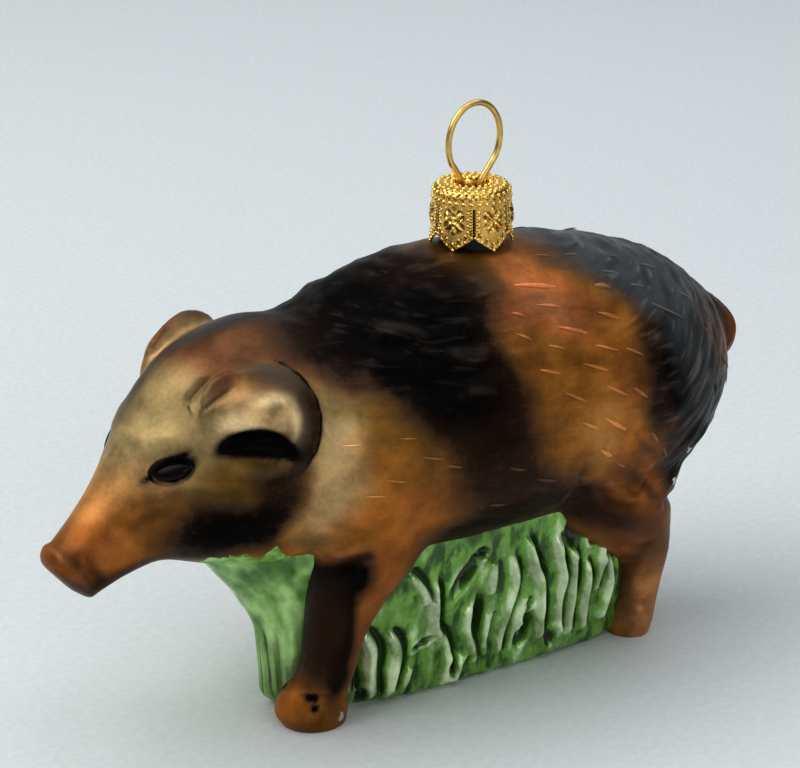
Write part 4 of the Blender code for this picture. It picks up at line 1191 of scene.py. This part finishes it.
def scatter_mesh(name, spots):
    """Bare points with the attributes that a scattering tree reads: a direction outwards and a size."""
    mesh = bpy.data.meshes.new(name)
    mesh.from_pydata([tuple(np.array(spot[0]) * MM) for spot in spots], [], [])
    keep_attribute(mesh, "outwards", np.array([spot[1] for spot in spots], float))
    keep_attribute(mesh, "size", np.array([spot[2] for spot in spots], float) * MM)
    return mesh


def hanger():
    """Round wire: a sprung leg, a teardrop loop above the cap, and the other leg."""
    first = math.radians(LOOP_OPEN_ANGLE)
    angle = np.linspace(first, 2 * math.pi - first, LOOP_STEPS + 1)
    z = LOOP_CENTRE_Z - LOOP_HALF_HEIGHT * np.cos(angle)
    lean = LOOP_LEAN * (z - CAP_SLIT_TOP) / (LOOP_CENTRE_Z - CAP_SLIT_TOP)
    arc = [(x, 0.0, height) for x, height in zip(PIKE_X - LOOP_HALF_WIDTH * np.sin(angle) + lean, z)]
    left = [(PIKE_X - WIRE_SPREAD, 0.0, WIRE_FOOT), (PIKE_X - WIRE_NECK, 0.0, WIRE_NECK_Z)]
    right = [(PIKE_X + WIRE_NECK, 0.0, WIRE_NECK_Z), (PIKE_X + WIRE_SPREAD, 0.0, WIRE_FOOT)]
    line = smooth_line(left + arc + right, WIRE_RINGS)
    ahead = np.gradient(line, axis=0)
    ahead /= np.linalg.norm(ahead, axis=1, keepdims=True)
    sideways = np.array((0, 1, 0))
    out = np.cross(sideways, ahead)[:, None, :]
    turn = turns(WIRE_SIDES)[None, :, None]
    wobble = 1 + 0.03 * grain(line, 4.0)[:, None, None]
    rings = line[:, None, :] + WIRE_RADIUS * wobble * (out * np.cos(turn) + sideways * np.sin(turn))
    return add_object("wire_loop", tube_mesh("wire_loop", rings))


# ---------------------------------------------------------------- Geometry Nodes trees

def link_node(tree, kind, inputs=(), **settings):
    """Adds a node; inputs is a list of (input name or number, constant or output socket)."""
    node = tree.nodes.new(kind)
    for name, value in settings.items():
        setattr(node, name, value)
    for name, value in inputs:
        socket = node.inputs[name]
        if isinstance(value, bpy.types.NodeSocket):
            tree.links.new(value, socket)
        else:
            socket.default_value = value
    return node


def scatter_tree(name, shape):
    """A tree that sets one small shape on every point, turned outwards; shape gives that shape's socket."""
    tree = bpy.data.node_groups.new(name, "GeometryNodeTree")
    face = tree.interface
    face.new_socket("Points", in_out="INPUT", socket_type="NodeSocketGeometry")
    face.new_socket("Swelling", in_out="INPUT", socket_type="NodeSocketFloat").default_value = 1.0
    face.new_socket("Finish", in_out="INPUT", socket_type="NodeSocketMaterial")
    face.new_socket("Pieces", in_out="OUTPUT", socket_type="NodeSocketGeometry")
    entry = tree.nodes.new("NodeGroupInput")

    def kept(label):
        return link_node(tree, "GeometryNodeInputNamedAttribute", [("Name", label)],
                         data_type="FLOAT_VECTOR").outputs[0]

    swollen = link_node(tree, "ShaderNodeVectorMath",
                        [(0, kept("size")), ("Scale", entry.outputs["Swelling"])], operation="SCALE")
    stand = link_node(tree, "FunctionNodeAlignRotationToVector", [("Vector", kept("outwards"))], axis="Z")
    lie = link_node(tree, "FunctionNodeAlignRotationToVector",
                    [("Rotation", stand.outputs[0]), ("Vector", kept("along"))], axis="X", pivot_axis="Z")
    copies = link_node(tree, "GeometryNodeInstanceOnPoints",
                       [("Points", entry.outputs["Points"]), ("Instance", shape(tree)),
                        ("Rotation", lie.outputs[0]), ("Scale", swollen.outputs[0])])
    real = link_node(tree, "GeometryNodeRealizeInstances", [(0, copies.outputs[0])])
    smooth = link_node(tree, "GeometryNodeSetShadeSmooth", [(0, real.outputs[0])])
    finish = link_node(tree, "GeometryNodeSetMaterial",
                       [("Geometry", smooth.outputs[0]), ("Material", entry.outputs["Finish"])])
    leave = tree.nodes.new("NodeGroupOutput")
    tree.links.new(finish.outputs[0], leave.inputs["Pieces"])
    return tree


def bead_shape(tree):
    return link_node(tree, "GeometryNodeMeshUVSphere",
                     [("Segments", 10), ("Rings", 6), ("Radius", 1.0)]).outputs["Mesh"]


def hair_shape(tree):
    """A sliver lying along X, one long, bowed down at both ends as the skin under it is."""
    rod = link_node(tree, "GeometryNodeMeshUVSphere", [("Segments", 8), ("Rings", 9), ("Radius", 1.0)])
    turned = link_node(tree, "GeometryNodeTransform",
                       [("Geometry", rod.outputs["Mesh"]), ("Rotation", (0.0, math.pi / 2, 0.0))])
    place = tree.nodes.new("GeometryNodeInputPosition")
    x, y, z = link_node(tree, "ShaderNodeSeparateXYZ", [(0, place.outputs[0])]).outputs
    square = multiply(tree, x, x)
    taper = subtract(tree, 1.0, multiply(tree, square, 0.72))
    height = subtract(tree, multiply(tree, z, taper), multiply(tree, square, 0.9))
    width = multiply(tree, y, taper)
    pointed = link_node(tree, "ShaderNodeCombineXYZ", [("X", x), ("Y", width), ("Z", height)])
    return link_node(tree, "GeometryNodeSetPosition",
                     [("Geometry", turned.outputs[0]), ("Position", pointed.outputs[0])]).outputs[0]


def scatter(name, spots, along, tree, material, finish_mesh=None):
    """A piece of small shapes set on spots by a tree; finish_mesh keeps what else its material reads."""
    mesh = scatter_mesh(name, spots)
    keep_attribute(mesh, "along", np.array(along, float))
    if finish_mesh:
        finish_mesh(mesh)
    piece = add_object(name, mesh)
    growth = piece.modifiers.new("Scatter", "NODES")
    growth.node_group = tree
    sockets = {item.name: item.identifier for item in tree.interface.items_tree if item.in_out == "INPUT"}
    growth[sockets["Swelling"]] = 1.0
    growth[sockets["Finish"]] = material
    return plain_mesh(piece)


# Raised hairs drawn on the flank and back: middle (x, z), length, slope in degrees, thickness
HAIRS = [
    (13.8, 55.4, 6.6, -25, 1.5), (13.8, 53.4, 3.8, -28, 0.9), (16.2, 50.3, 4.8, -26, 1),
    (8.4, 50.8, 2.4, -36, 0.9), (10.6, 46.4, 3.4, -20, 0.9), (22.4, 50.9, 3.4, -28, 1.1),
    (32, 49.8, 6.2, -43, 0.7), (23.6, 53.8, 2.6, -30, 1.6), (18, 45.6, 4.2, -24, 0.9),
    (20.6, 37.4, 4.8, -34, 1.3), (19.2, 33.6, 3, -36, 1.5), (26.6, 54.6, 3, -33, 0.8),
    (29.4, 52.8, 2.6, -36, 0.8), (34.2, 53.6, 3, -38, 0.8), (37.5, 50, 3.4, -48, 0.7),
    (20.2, 47.6, 3.6, -26, 0.7), (12.6, 49, 2.6, -26, 0.7), (14, 42.6, 3.4, -28, 0.9),
    (20.5, 42.2, 3.8, -30, 0.9), (16, 38.4, 3, -28, 0.8), (24.4, 46.4, 3, -34, 0.8),
    (24.6, 41, 3, -38, 0.9), (-7.5, 38.4, 3, -14, 0.6), (-10.5, 41.4, 2.4, -10, 0.5),
    (-4.6, 36.8, 2.6, -16, 0.6), (-12.5, 36.2, 2.8, -14, 0.5), (5, 34.5, 2.6, -18, 0.7),
    (10.2, 31.6, 3.6, -20, 0.8), (3, 29.4, 3, -14, 0.7), (27.4, 34, 2.8, -52, 0.9), (30, 31, 2.6, -58, 0.9),
    (22.6, 30.8, 2.6, -42, 0.9), (40.5, 45, 3.4, -52, 0.8), (43, 40.5, 3.4, -62, 0.8),
    (40, 37, 3, -66, 0.8), (44.6, 46, 2.6, -60, 0.7), (17.6, 57.6, 3, -22, 0.6),
    (22.6, 56.8, 3.2, -24, 0.6), (29, 55.6, 3, -30, 0.6), (8.8, 53.2, 2.2, -38, 0.9),
    (46.8, 36.8, 3.8, -80, 0.8), (48.4, 41.4, 3.4, -76, 0.8), (-18, 41.6, 2.6, -8, 0.4),
    (-15.5, 34.6, 2.8, -6, 0.4),
]


def raised_hairs(find, material):
    """Single hairs standing out of the mould, the same on both sides apart from where each one lies."""
    chance = random.Random(HAIR_SEED)
    spots, along = [], []
    for side in (1, -1):
        for x, z, length, slope, thickness in HAIRS:
            if side < 0:
                x += chance.uniform(-1.2, 1.2)
                z += chance.uniform(-0.8, 0.8)
                slope += chance.uniform(-8, 8)
            spot, normal = find(x, z, side)
            heading = np.array((math.cos(math.radians(slope)), 0, math.sin(math.radians(slope))))
            heading = heading - normal * (heading @ normal)
            heading /= np.linalg.norm(heading)
            size = (0.6 * length, 0.27 * thickness, 0.22 * thickness)
            spots.append((spot + normal * HAIR_LIFT, normal, size))
            along.append(heading)

    def coats(mesh):
        paint_boar(mesh)
        # painted highlight: the raised hairs are drawn lighter than the skin round them
        keep_attribute(mesh, "ridge_highlight", np.full(len(mesh.vertices), 1.4))

    return scatter("raised_hairs", spots, along, scatter_tree("Raised hairs", hair_shape), material, coats)


# ---------------------------------------------------------------- effects shared by the finishes

UNEVENNESS = [("Tone", "Float"), ("Roughness", "Float"), ("Normal", "Vector")]


def effect(name, values, outputs):
    """An empty shader node group with its sockets; gives the tree, its entry and its exit."""
    tree = bpy.data.node_groups.new(name, "ShaderNodeTree")
    for in_out, sockets in (("INPUT", values), ("OUTPUT", outputs)):
        for label, kind in sockets:
            tree.interface.new_socket(label, in_out=in_out, socket_type="NodeSocket" + kind)
    return tree, tree.nodes.new("NodeGroupInput"), tree.nodes.new("NodeGroupOutput")


def noise_at(tree, place, scale, detail, rough):
    inputs = [("Vector", place), ("Scale", scale), ("Detail", detail), ("Roughness", rough)]
    return link_node(tree, "ShaderNodeTexNoise", inputs).outputs["Fac"]


def object_place(tree):
    return link_node(tree, "ShaderNodeTexCoord").outputs["Object"]


def stretched(tree, place, scale):
    return link_node(tree, "ShaderNodeMapping", [("Vector", place), ("Scale", scale)]).outputs[0]


def object_noise(tree, size, detail=2.0, rough=0.5, stretch=None):
    """Noise from 0 to 1 whose lumps are about size millimetres, drawn out along an axis by stretch."""
    place = object_place(tree)
    if stretch:
        place = stretched(tree, place, stretch)
    return noise_at(tree, place, 1 / (size * MM), detail, rough)


def remap(tree, value, low, high, to_low=0.0, to_high=1.0, smooth=True):
    return link_node(tree, "ShaderNodeMapRange",
                     [("Value", value), ("From Min", low), ("From Max", high), ("To Min", to_low),
                      ("To Max", to_high)],
                     interpolation_type="SMOOTHSTEP" if smooth else "LINEAR").outputs["Result"]


def calculate(tree, operation, first, second=0.0):
    return link_node(tree, "ShaderNodeMath", [(0, first), (1, second)], operation=operation).outputs[0]


def multiply(tree, first, second):
    return calculate(tree, "MULTIPLY", first, second)


def add(tree, first, second):
    return calculate(tree, "ADD", first, second)


def subtract(tree, first, second):
    return calculate(tree, "SUBTRACT", first, second)


def spread(tree, value, low, high):
    """A noise's middle part drawn out to a softly limited range."""
    return remap(tree, value, 0.3, 0.7, low, high)


def mix(tree, amount, first, second, mode="MIX"):
    return link_node(tree, "ShaderNodeMix", [(0, amount), (6, first), (7, second)], data_type="RGBA",
                     blend_type=mode).outputs[2]


def tint(tree, first, second):
    return mix(tree, 1.0, first, second, "MULTIPLY")


def read(tree, name, output="Fac"):
    return link_node(tree, "ShaderNodeAttribute", attribute_name=name).outputs[output]


def flowing_noise(tree, size, detail):
    """Noise from 0 to 1 drawn out along the moulded hair; size is a lock's width in millimetres."""
    place = stretched(tree, read(tree, "hair_flow", "Vector"), (0.14, 1.0, 0.3))
    return noise_at(tree, place, 1 / size, detail, 0.5)


def spray_edge_effect():
    """Turns a soft amount of paint into sprayed droplets: solid where thick, speckled where it thins out."""
    tree, entry, leave = effect("Spray edge", [("Amount", "Float")], [("Mask", "Float")])
    drops = object_noise(tree, 0.13, 1.0)
    clouds = object_noise(tree, 1.4, 3.0, 0.55)
    grainy = add(tree, multiply(tree, drops, 0.30), multiply(tree, clouds, 0.22))
    lifted = add(tree, entry.outputs["Amount"], subtract(tree, grainy, 0.26))
    tree.links.new(remap(tree, lifted, 0.04, 0.96, smooth=False), leave.inputs["Mask"])
    return tree


def lacquer_effect():
    """Unevenness of a coat of satin lacquer: a tone to tint by, a roughness and a fine bump."""
    tree, _, leave = effect("Lacquer unevenness", [], UNEVENNESS)
    broad = object_noise(tree, 4.5, 3.0, 0.55)
    fine = object_noise(tree, 0.5, 2.0, 0.5)
    hairs = object_noise(tree, 0.55, 2.0, 0.5, (0.22, 0.6, 1.0))
    tone = add(tree, spread(tree, broad, 0.70, 1.20), spread(tree, fine, -0.06, 0.06))
    tree.links.new(tone, leave.inputs["Tone"])
    tree.links.new(spread(tree, broad, -0.04, 0.05), leave.inputs["Roughness"])
    normal = bump(tree, 0.22, 0.12, add(tree, hairs, multiply(tree, fine, 0.35)))
    tree.links.new(normal, leave.inputs["Normal"])
    return tree


def stamped_metal_effect():
    """Uneven colour and fine scratches of thin gilded metal."""
    tree, _, leave = effect("Gilding", [], UNEVENNESS)
    patches = object_noise(tree, 1.6, 3.0, 0.6)
    fine = object_noise(tree, 0.20, 2.0, 0.5)
    tree.links.new(spread(tree, patches, 0.80, 1.10), leave.inputs["Tone"])
    tree.links.new(spread(tree, fine, -0.05, 0.08), leave.inputs["Roughness"])
    tree.links.new(bump(tree, 0.35, 0.05, fine), leave.inputs["Normal"])
    return tree


def new_material(name):
    material = bpy.data.materials.new(name)
    material.use_nodes = True
    tree = material.node_tree
    return material, tree, tree.nodes["Principled BSDF"]


def use_effect(tree, group, inputs=()):
    node = tree.nodes.new("ShaderNodeGroup")
    node.node_tree = group
    for name, value in inputs:
        tree.links.new(value, node.inputs[name])
    return node.outputs


def set_surface(tree, surface, links, **constants):
    for name, value in constants.items():
        surface.inputs[name.replace("_", " ")].default_value = value
    for name, socket in links:
        tree.links.new(socket, surface.inputs[name])


def colour4(colour):
    return tuple(colour) + (1.0,)


def paint4(red, green, blue):
    return colour4(srgb(red, green, blue))


def luminance(tree, colour):
    return link_node(tree, "ShaderNodeRGBToBW", [(0, colour)]).outputs[0]


def bump(tree, strength, distance, height, under=None):
    """Normal pushed by a height; distance is in millimetres, and under is the normal that it starts from."""
    inputs = [("Strength", strength), ("Distance", distance * MM), ("Height", height)]
    if under is not None:
        inputs.append(("Normal", under))
    return link_node(tree, "ShaderNodeBump", inputs).outputs[0]


# ---------------------------------------------------------------- finishes

def painted_boar(edges, lacquer):
    """Both coats sprayed over each other, painted highlight on ridges, painted shade in creases, bare chips
    and the green's overrun.
    """
    material, tree, surface = new_material("hand_painted_glass")
    soot = colour4(PAINTS["soot"])
    uneven = use_effect(tree, lacquer)
    warm = tint(tree, read(tree, "warm_coat", "Color"), uneven["Tone"])
    covered = use_effect(tree, edges, [("Amount", read(tree, "cover"))])["Mask"]
    body = mix(tree, covered, warm, read(tree, "dark_coat", "Color"))
    # painted highlight: a lightened copy of the coat, laid on the ridges and the raised hairs
    highlight_tone = mix(tree, 1.0, tint(tree, body, (1.8, 1.7, 1.7, 1.0)), (0.085, 0.062, 0.048, 1.0), "ADD")
    body = mix(tree, multiply(tree, read(tree, "ridge_highlight"), 0.55), body, highlight_tone)

    # the moulded hair: painted shade between its locks, painted highlight along its strokes
    locks, strokes = flowing_noise(tree, 2.2, 2.0), flowing_noise(tree, 0.8, 1.0)
    grown = read(tree, "hair_growth")
    hollow = multiply(tree, remap(tree, locks, 0.50, 0.34), grown)
    body = mix(tree, multiply(tree, hollow, 0.55), body, tint(tree, body, (0.3, 0.27, 0.25, 1.0)))
    stroke_highlight = multiply(tree, remap(tree, strokes, 0.56, 0.74), multiply(tree, grown, grown))
    stroke_highlight = multiply(tree, stroke_highlight, remap(tree, luminance(tree, body), 0.002, 0.02, 0.25, 0.55))
    body = mix(tree, stroke_highlight, body, highlight_tone)
    # painted shade in the pressed-in creases
    body = mix(tree, read(tree, "pressed"), body, soot)

    # painted shade: the thin dark line in the crease round the ear's rim
    reach = add(tree, read(tree, "ear_reach"), spread(tree, object_noise(tree, 1.4, 2.0), -0.012, 0.012))
    line = remap(tree, calculate(tree, "ABSOLUTE", subtract(tree, reach, 1.03)), 0.014, 0.034, 1.0, 0.0)
    line = multiply(tree, line, read(tree, "ear_crease_shade"))
    line = multiply(tree, line, remap(tree, object_noise(tree, 2.2, 1.0), 0.25, 0.45, 0.5, 1.0))
    body = mix(tree, multiply(tree, line, 0.9), body, soot)

    ragged = spread(tree, object_noise(tree, 0.9, 3.0, 0.6), -0.05, 0.05)
    green = remap(tree, add(tree, read(tree, "throat"), ragged), -0.010, 0.012)
    streaks = remap(tree, object_noise(tree, 2.6, 3.0, 0.5, (1.0, 1.0, 0.2)), 0.35, 0.65)
    body = mix(tree, green, body, mix(tree, streaks, paint4(102, 168, 52), paint4(180, 222, 138)))
    chip = add(tree, read(tree, "chip"), spread(tree, object_noise(tree, 0.45, 2.0), -0.3, 0.3))
    bare = remap(tree, chip, 0.90, 1.05, 1.0, 0.0)
    body = mix(tree, bare, body, paint4(206, 210, 210))

    rough = add(tree, uneven["Roughness"], remap(tree, covered, 0.0, 1.0, 0.42, 0.36))
    metal = calculate(tree, "MAXIMUM", bare, remap(tree, covered, 0.0, 1.0, 0.45, 0.0))
    shine = remap(tree, luminance(tree, body), 0.002, 0.03, 0.03, 0.14)
    combed = bump(tree, 0.5, 0.25, multiply(tree, strokes, grown), uneven["Normal"])
    set_surface(tree, surface,
                [("Base Color", body), ("Roughness", rough), ("Metallic", metal),
                 ("Specular IOR Level", shine), ("Normal", combed)])
    return material


def painted_grass(edges, lacquer):
    """Green lacquer over silvering, with painted shade deep in the folds and at the web's top, painted
    highlight pale on the blades.
    """
    material, tree, surface = new_material("green_lacquered_glass")
    uneven = use_effect(tree, lacquer)
    stains = object_noise(tree, 2.4, 3.0, 0.6, (1.0, 1.0, 0.45))
    # painted shade and highlight: deep green in the low parts, pale mint on the raised blades
    patches = add(tree, read(tree, "raised"), spread(tree, stains, -0.26, 0.26))
    blades = mix(tree, remap(tree, patches, 0.14, 0.50), paint4(48, 92, 16), paint4(122, 172, 72))
    blades = mix(tree, remap(tree, patches, 0.54, 1.02), blades, paint4(222, 240, 196))
    folds = object_noise(tree, 3.4, 2.0, 0.45, (1.0, 1.0, 0.14))
    web = mix(tree, remap(tree, folds, 0.36, 0.68), paint4(84, 146, 40), paint4(200, 236, 158))
    # painted shade: the web darkens towards its top, under the throat
    level = link_node(tree, "ShaderNodeSeparateXYZ", [(0, object_place(tree))]).outputs["Z"]
    high = remap(tree, level, 17 * MM, 23 * MM, 0.0, 0.6)
    web = mix(tree, high, web, tint(tree, web, (0.42, 0.56, 0.32, 1.0)))
    body = mix(tree, read(tree, "web"), blades, web)
    body = tint(tree, body, uneven["Tone"])
    dark = use_effect(tree, edges, [("Amount", read(tree, "pressed"))])["Mask"]
    # painted shade in the grooves and hollows
    body = mix(tree, multiply(tree, dark, 0.92), body, paint4(22, 36, 20))
    rough = add(tree, uneven["Roughness"], 0.20)
    set_surface(tree, surface, [("Base Color", body), ("Roughness", rough), ("Normal", uneven["Normal"])],
                Metallic=0.30, Coat_Weight=0.55, Coat_Roughness=0.10)
    return material


def gilded(name, gilding, colour, roughness, bumpy=True):
    material, tree, surface = new_material(name)
    uneven = use_effect(tree, gilding)
    tinted = tint(tree, colour4(colour), uneven["Tone"])
    # painted shade darkens the stamped hollows
    body = mix(tree, read(tree, "pressed"), tinted, tint(tree, tinted, (0.22, 0.13, 0.06, 1.0)))
    rough = add(tree, uneven["Roughness"], roughness)
    links = [("Base Color", body), ("Roughness", rough)] + ([("Normal", uneven["Normal"])] if bumpy else [])
    set_surface(tree, surface, links, Metallic=1.0)
    return material


def dark_gloss(name, lacquer, size, colours, roughness, specular):
    """Glass that shows dark: two near blacks clouded into each other."""
    material, tree, surface = new_material(name)
    uneven = use_effect(tree, lacquer)
    body = mix(tree, object_noise(tree, *size), *colours)
    set_surface(tree, surface, [("Base Color", body), ("Normal", uneven["Normal"])],
                Roughness=roughness, Specular_IOR_Level=specular)
    return material


# ---------------------------------------------------------------- stage, light and camera

def view_heading():
    """Level direction that the camera looks along, and the one to its right."""
    turn = math.radians(VIEW_AZIMUTH)
    return np.array((-math.sin(turn), math.cos(turn), 0)), np.array((math.cos(turn), math.sin(turn), 0))


def sweep():
    """Floor that bends up softly into a backdrop behind the object, square to the camera."""
    ahead, right = view_heading()
    line = [(SWEEP_FRONT, 0.0), (SWEEP_START, 0.0)]
    for angle in np.linspace(0, math.pi / 2, SWEEP_STEPS)[1:]:
        line.append((SWEEP_START + SWEEP_RADIUS * math.sin(angle), SWEEP_RADIUS * (1 - math.cos(angle))))
    line.append((SWEEP_START + SWEEP_RADIUS, SWEEP_TOP))
    points, faces = [], []
    for distance, height in line:
        for reach in (-SWEEP_HALF_WIDTH, SWEEP_HALF_WIDTH):
            points.append(tuple(ahead * distance + right * reach + np.array((0, 0, height))))
    for k in range(len(line) - 1):
        faces.append((2 * k, 2 * k + 1, 2 * k + 3, 2 * k + 2))
    mesh = bpy.data.meshes.new("paper_sweep")
    mesh.from_pydata(points, [], faces)
    mesh.shade_smooth()
    material, tree, surface = new_material("pale_paper")
    fibres = object_noise(tree, 1.2, 3.0, 0.6)
    body = mix(tree, spread(tree, fibres, 0.0, 1.0), paint4(210, 214, 215), paint4(216, 220, 221))
    away = link_node(tree, "ShaderNodeVectorMath", [(0, object_place(tree)), (1, tuple(ahead))],
                     operation="DOT_PRODUCT").outputs["Value"]
    # painted light: the paper turns lighter with distance from the front
    far_light = tint(tree, body, (1.06, 1.06, 1.06, 1.0))
    body = mix(tree, remap(tree, away, 0.0, 0.38), body, far_light)
    set_surface(tree, surface, [("Base Color", body)], Roughness=0.75)
    mesh.materials.append(material)
    add_object("paper_sweep", mesh)


def look_from(piece, back):
    """Turns a camera or lamp so that it looks away from the direction back."""
    piece.rotation_mode = "QUATERNION"
    piece.rotation_quaternion = Vector(back).to_track_quat("Z", "Y")


def lamp(name, place, size, power, colour):
    light = bpy.data.lights.new(name, "AREA")
    light.shape = "RECTANGLE"
    light.size, light.size_y = size
    light.energy = power
    light.color = colour
    piece = add_object(name, light)
    piece.location = place
    look_from(piece, Vector(place) - Vector(AIM))


def studio():
    ahead, right = view_heading()
    for name, (to_right, to_front, height), size, power, colour in LAMPS:
        place = to_right * right + to_front * ahead + np.array((0, 0, height))
        lamp(name, tuple(place), size, power, colour)
    world = bpy.data.worlds.new("room")
    bpy.context.scene.world = world
    world.use_nodes = True
    tree = world.node_tree
    direction = link_node(tree, "ShaderNodeTexCoord").outputs["Generated"]
    height = link_node(tree, "ShaderNodeSeparateXYZ", [(0, direction)]).outputs["Z"]
    background = tree.nodes["Background"]
    tree.links.new(mix(tree, remap(tree, height, -0.1, 0.9), ROOM_LOW, ROOM_HIGH), background.inputs["Color"])
    background.inputs["Strength"].default_value = ROOM_STRENGTH


def camera():
    data = bpy.data.cameras.new("camera")
    data.lens = VIEW_LENS
    data.sensor_width = VIEW_SENSOR
    piece = add_object("camera", data)
    piece.location = VIEW_PLACE
    az, el = math.radians(VIEW_AZIMUTH), math.radians(VIEW_ELEVATION)
    look_from(piece, (math.sin(az) * math.cos(el), -math.cos(az) * math.cos(el), math.sin(el)))
    bpy.context.scene.camera = piece


# ---------------------------------------------------------------- putting it together

def finished(piece, material, slot, *nodes):
    """Gives a piece its finish and states what it rides on and stands for; slot is not used."""
    piece.data.materials.clear()
    piece.data.materials.append(material)
    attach(piece, "root")
    if nodes:
        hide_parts(*nodes)


def dress():
    edges, lacquer, gilding = spray_edge_effect(), lacquer_effect(), stamped_metal_effect()
    paintwork = painted_boar(edges, lacquer)

    skin = boar_skin()
    paint_boar(skin.data, whole=True)
    finished(skin, paintwork, "boar_tan", "head", "neck", "trunk", "tail", "ear_left", "ear_right",
             "foreleg_left", "foreleg_right", "hindleg_left", "hindleg_right")

    find = side_ground(skin)
    enamel = dark_gloss("eye_enamel", lacquer, (0.8, 2.0), (paint4(5, 4, 4), paint4(26, 15, 14)), 0.24, 0.12)
    for side, label in ((1, "left"), (-1, "right")):
        bead = eye_bead("eye_bead_" + label, find, side)
        bead.data.shade_smooth()
        finished(bead, enamel, "boar_eye", "eye_" + label)
        lids = eyelids("eyelids_" + label, find, side)
        lids.data.shade_smooth()
        paint_lids(lids.data)
        finished(lids, paintwork, "boar_face")
    finished(raised_hairs(find, paintwork), paintwork, "boar_back")
    finished(grass(), painted_grass(edges, lacquer), "grass_green", "grass")

    gold = gilded("stamped_gold", gilding, (1.0, 0.68, 0.20), 0.22)
    finished(cap(), gold, "gold_cap", "cap")
    spots = bead_spots()
    beads = scatter("cap_beads", spots, [(0, 0, 1)] * len(spots), scatter_tree("Beads", bead_shape), gold)
    finished(beads, gold, "gold_cap")
    loop = hanger()
    loop.data.shade_smooth()
    wire = gilded("gilded_wire", gilding, (0.80, 0.56, 0.20), 0.33, bumpy=False)
    finished(loop, wire, "gold_wire", "hanger")
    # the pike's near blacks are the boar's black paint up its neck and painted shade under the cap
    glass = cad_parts["pike"]
    glass.material_slots[0].material = dark_gloss(
        "silvered_glass", lacquer, (1.5, 3.0), (paint4(10, 9, 8), paint4(30, 24, 18)), 0.34, 0.3)


def paint_lids(mesh):
    """The lids are dark where they meet the eye and take the cheek's paint outside."""
    paint_boar(mesh)
    points = read_points(mesh)
    place = np.stack([points[:, 0] - EYE_CENTRE[0], points[:, 2] - EYE_CENTRE[2]], axis=-1)
    inner = oval(place, (-0.2, 0.25), (EYE_SIZE[0] + 0.45, EYE_SIZE[2] + 0.45), EYE_TILT)
    tilt = math.radians(EYE_TILT)
    above = place[:, 1] * math.cos(tilt) - place[:, 0] * math.sin(tilt)
    dark = (1 - smoothstep(1.10, 1.40, inner)) * (0.45 + 0.5 * smoothstep(-1.0, 0.6, above))
    keep_attribute(mesh, "pressed", dark)


dress()
sweep()
studio()
camera()
view = bpy.context.scene.view_settings
view.view_transform = "Standard"
view.gamma = PICTURE_GAMMA
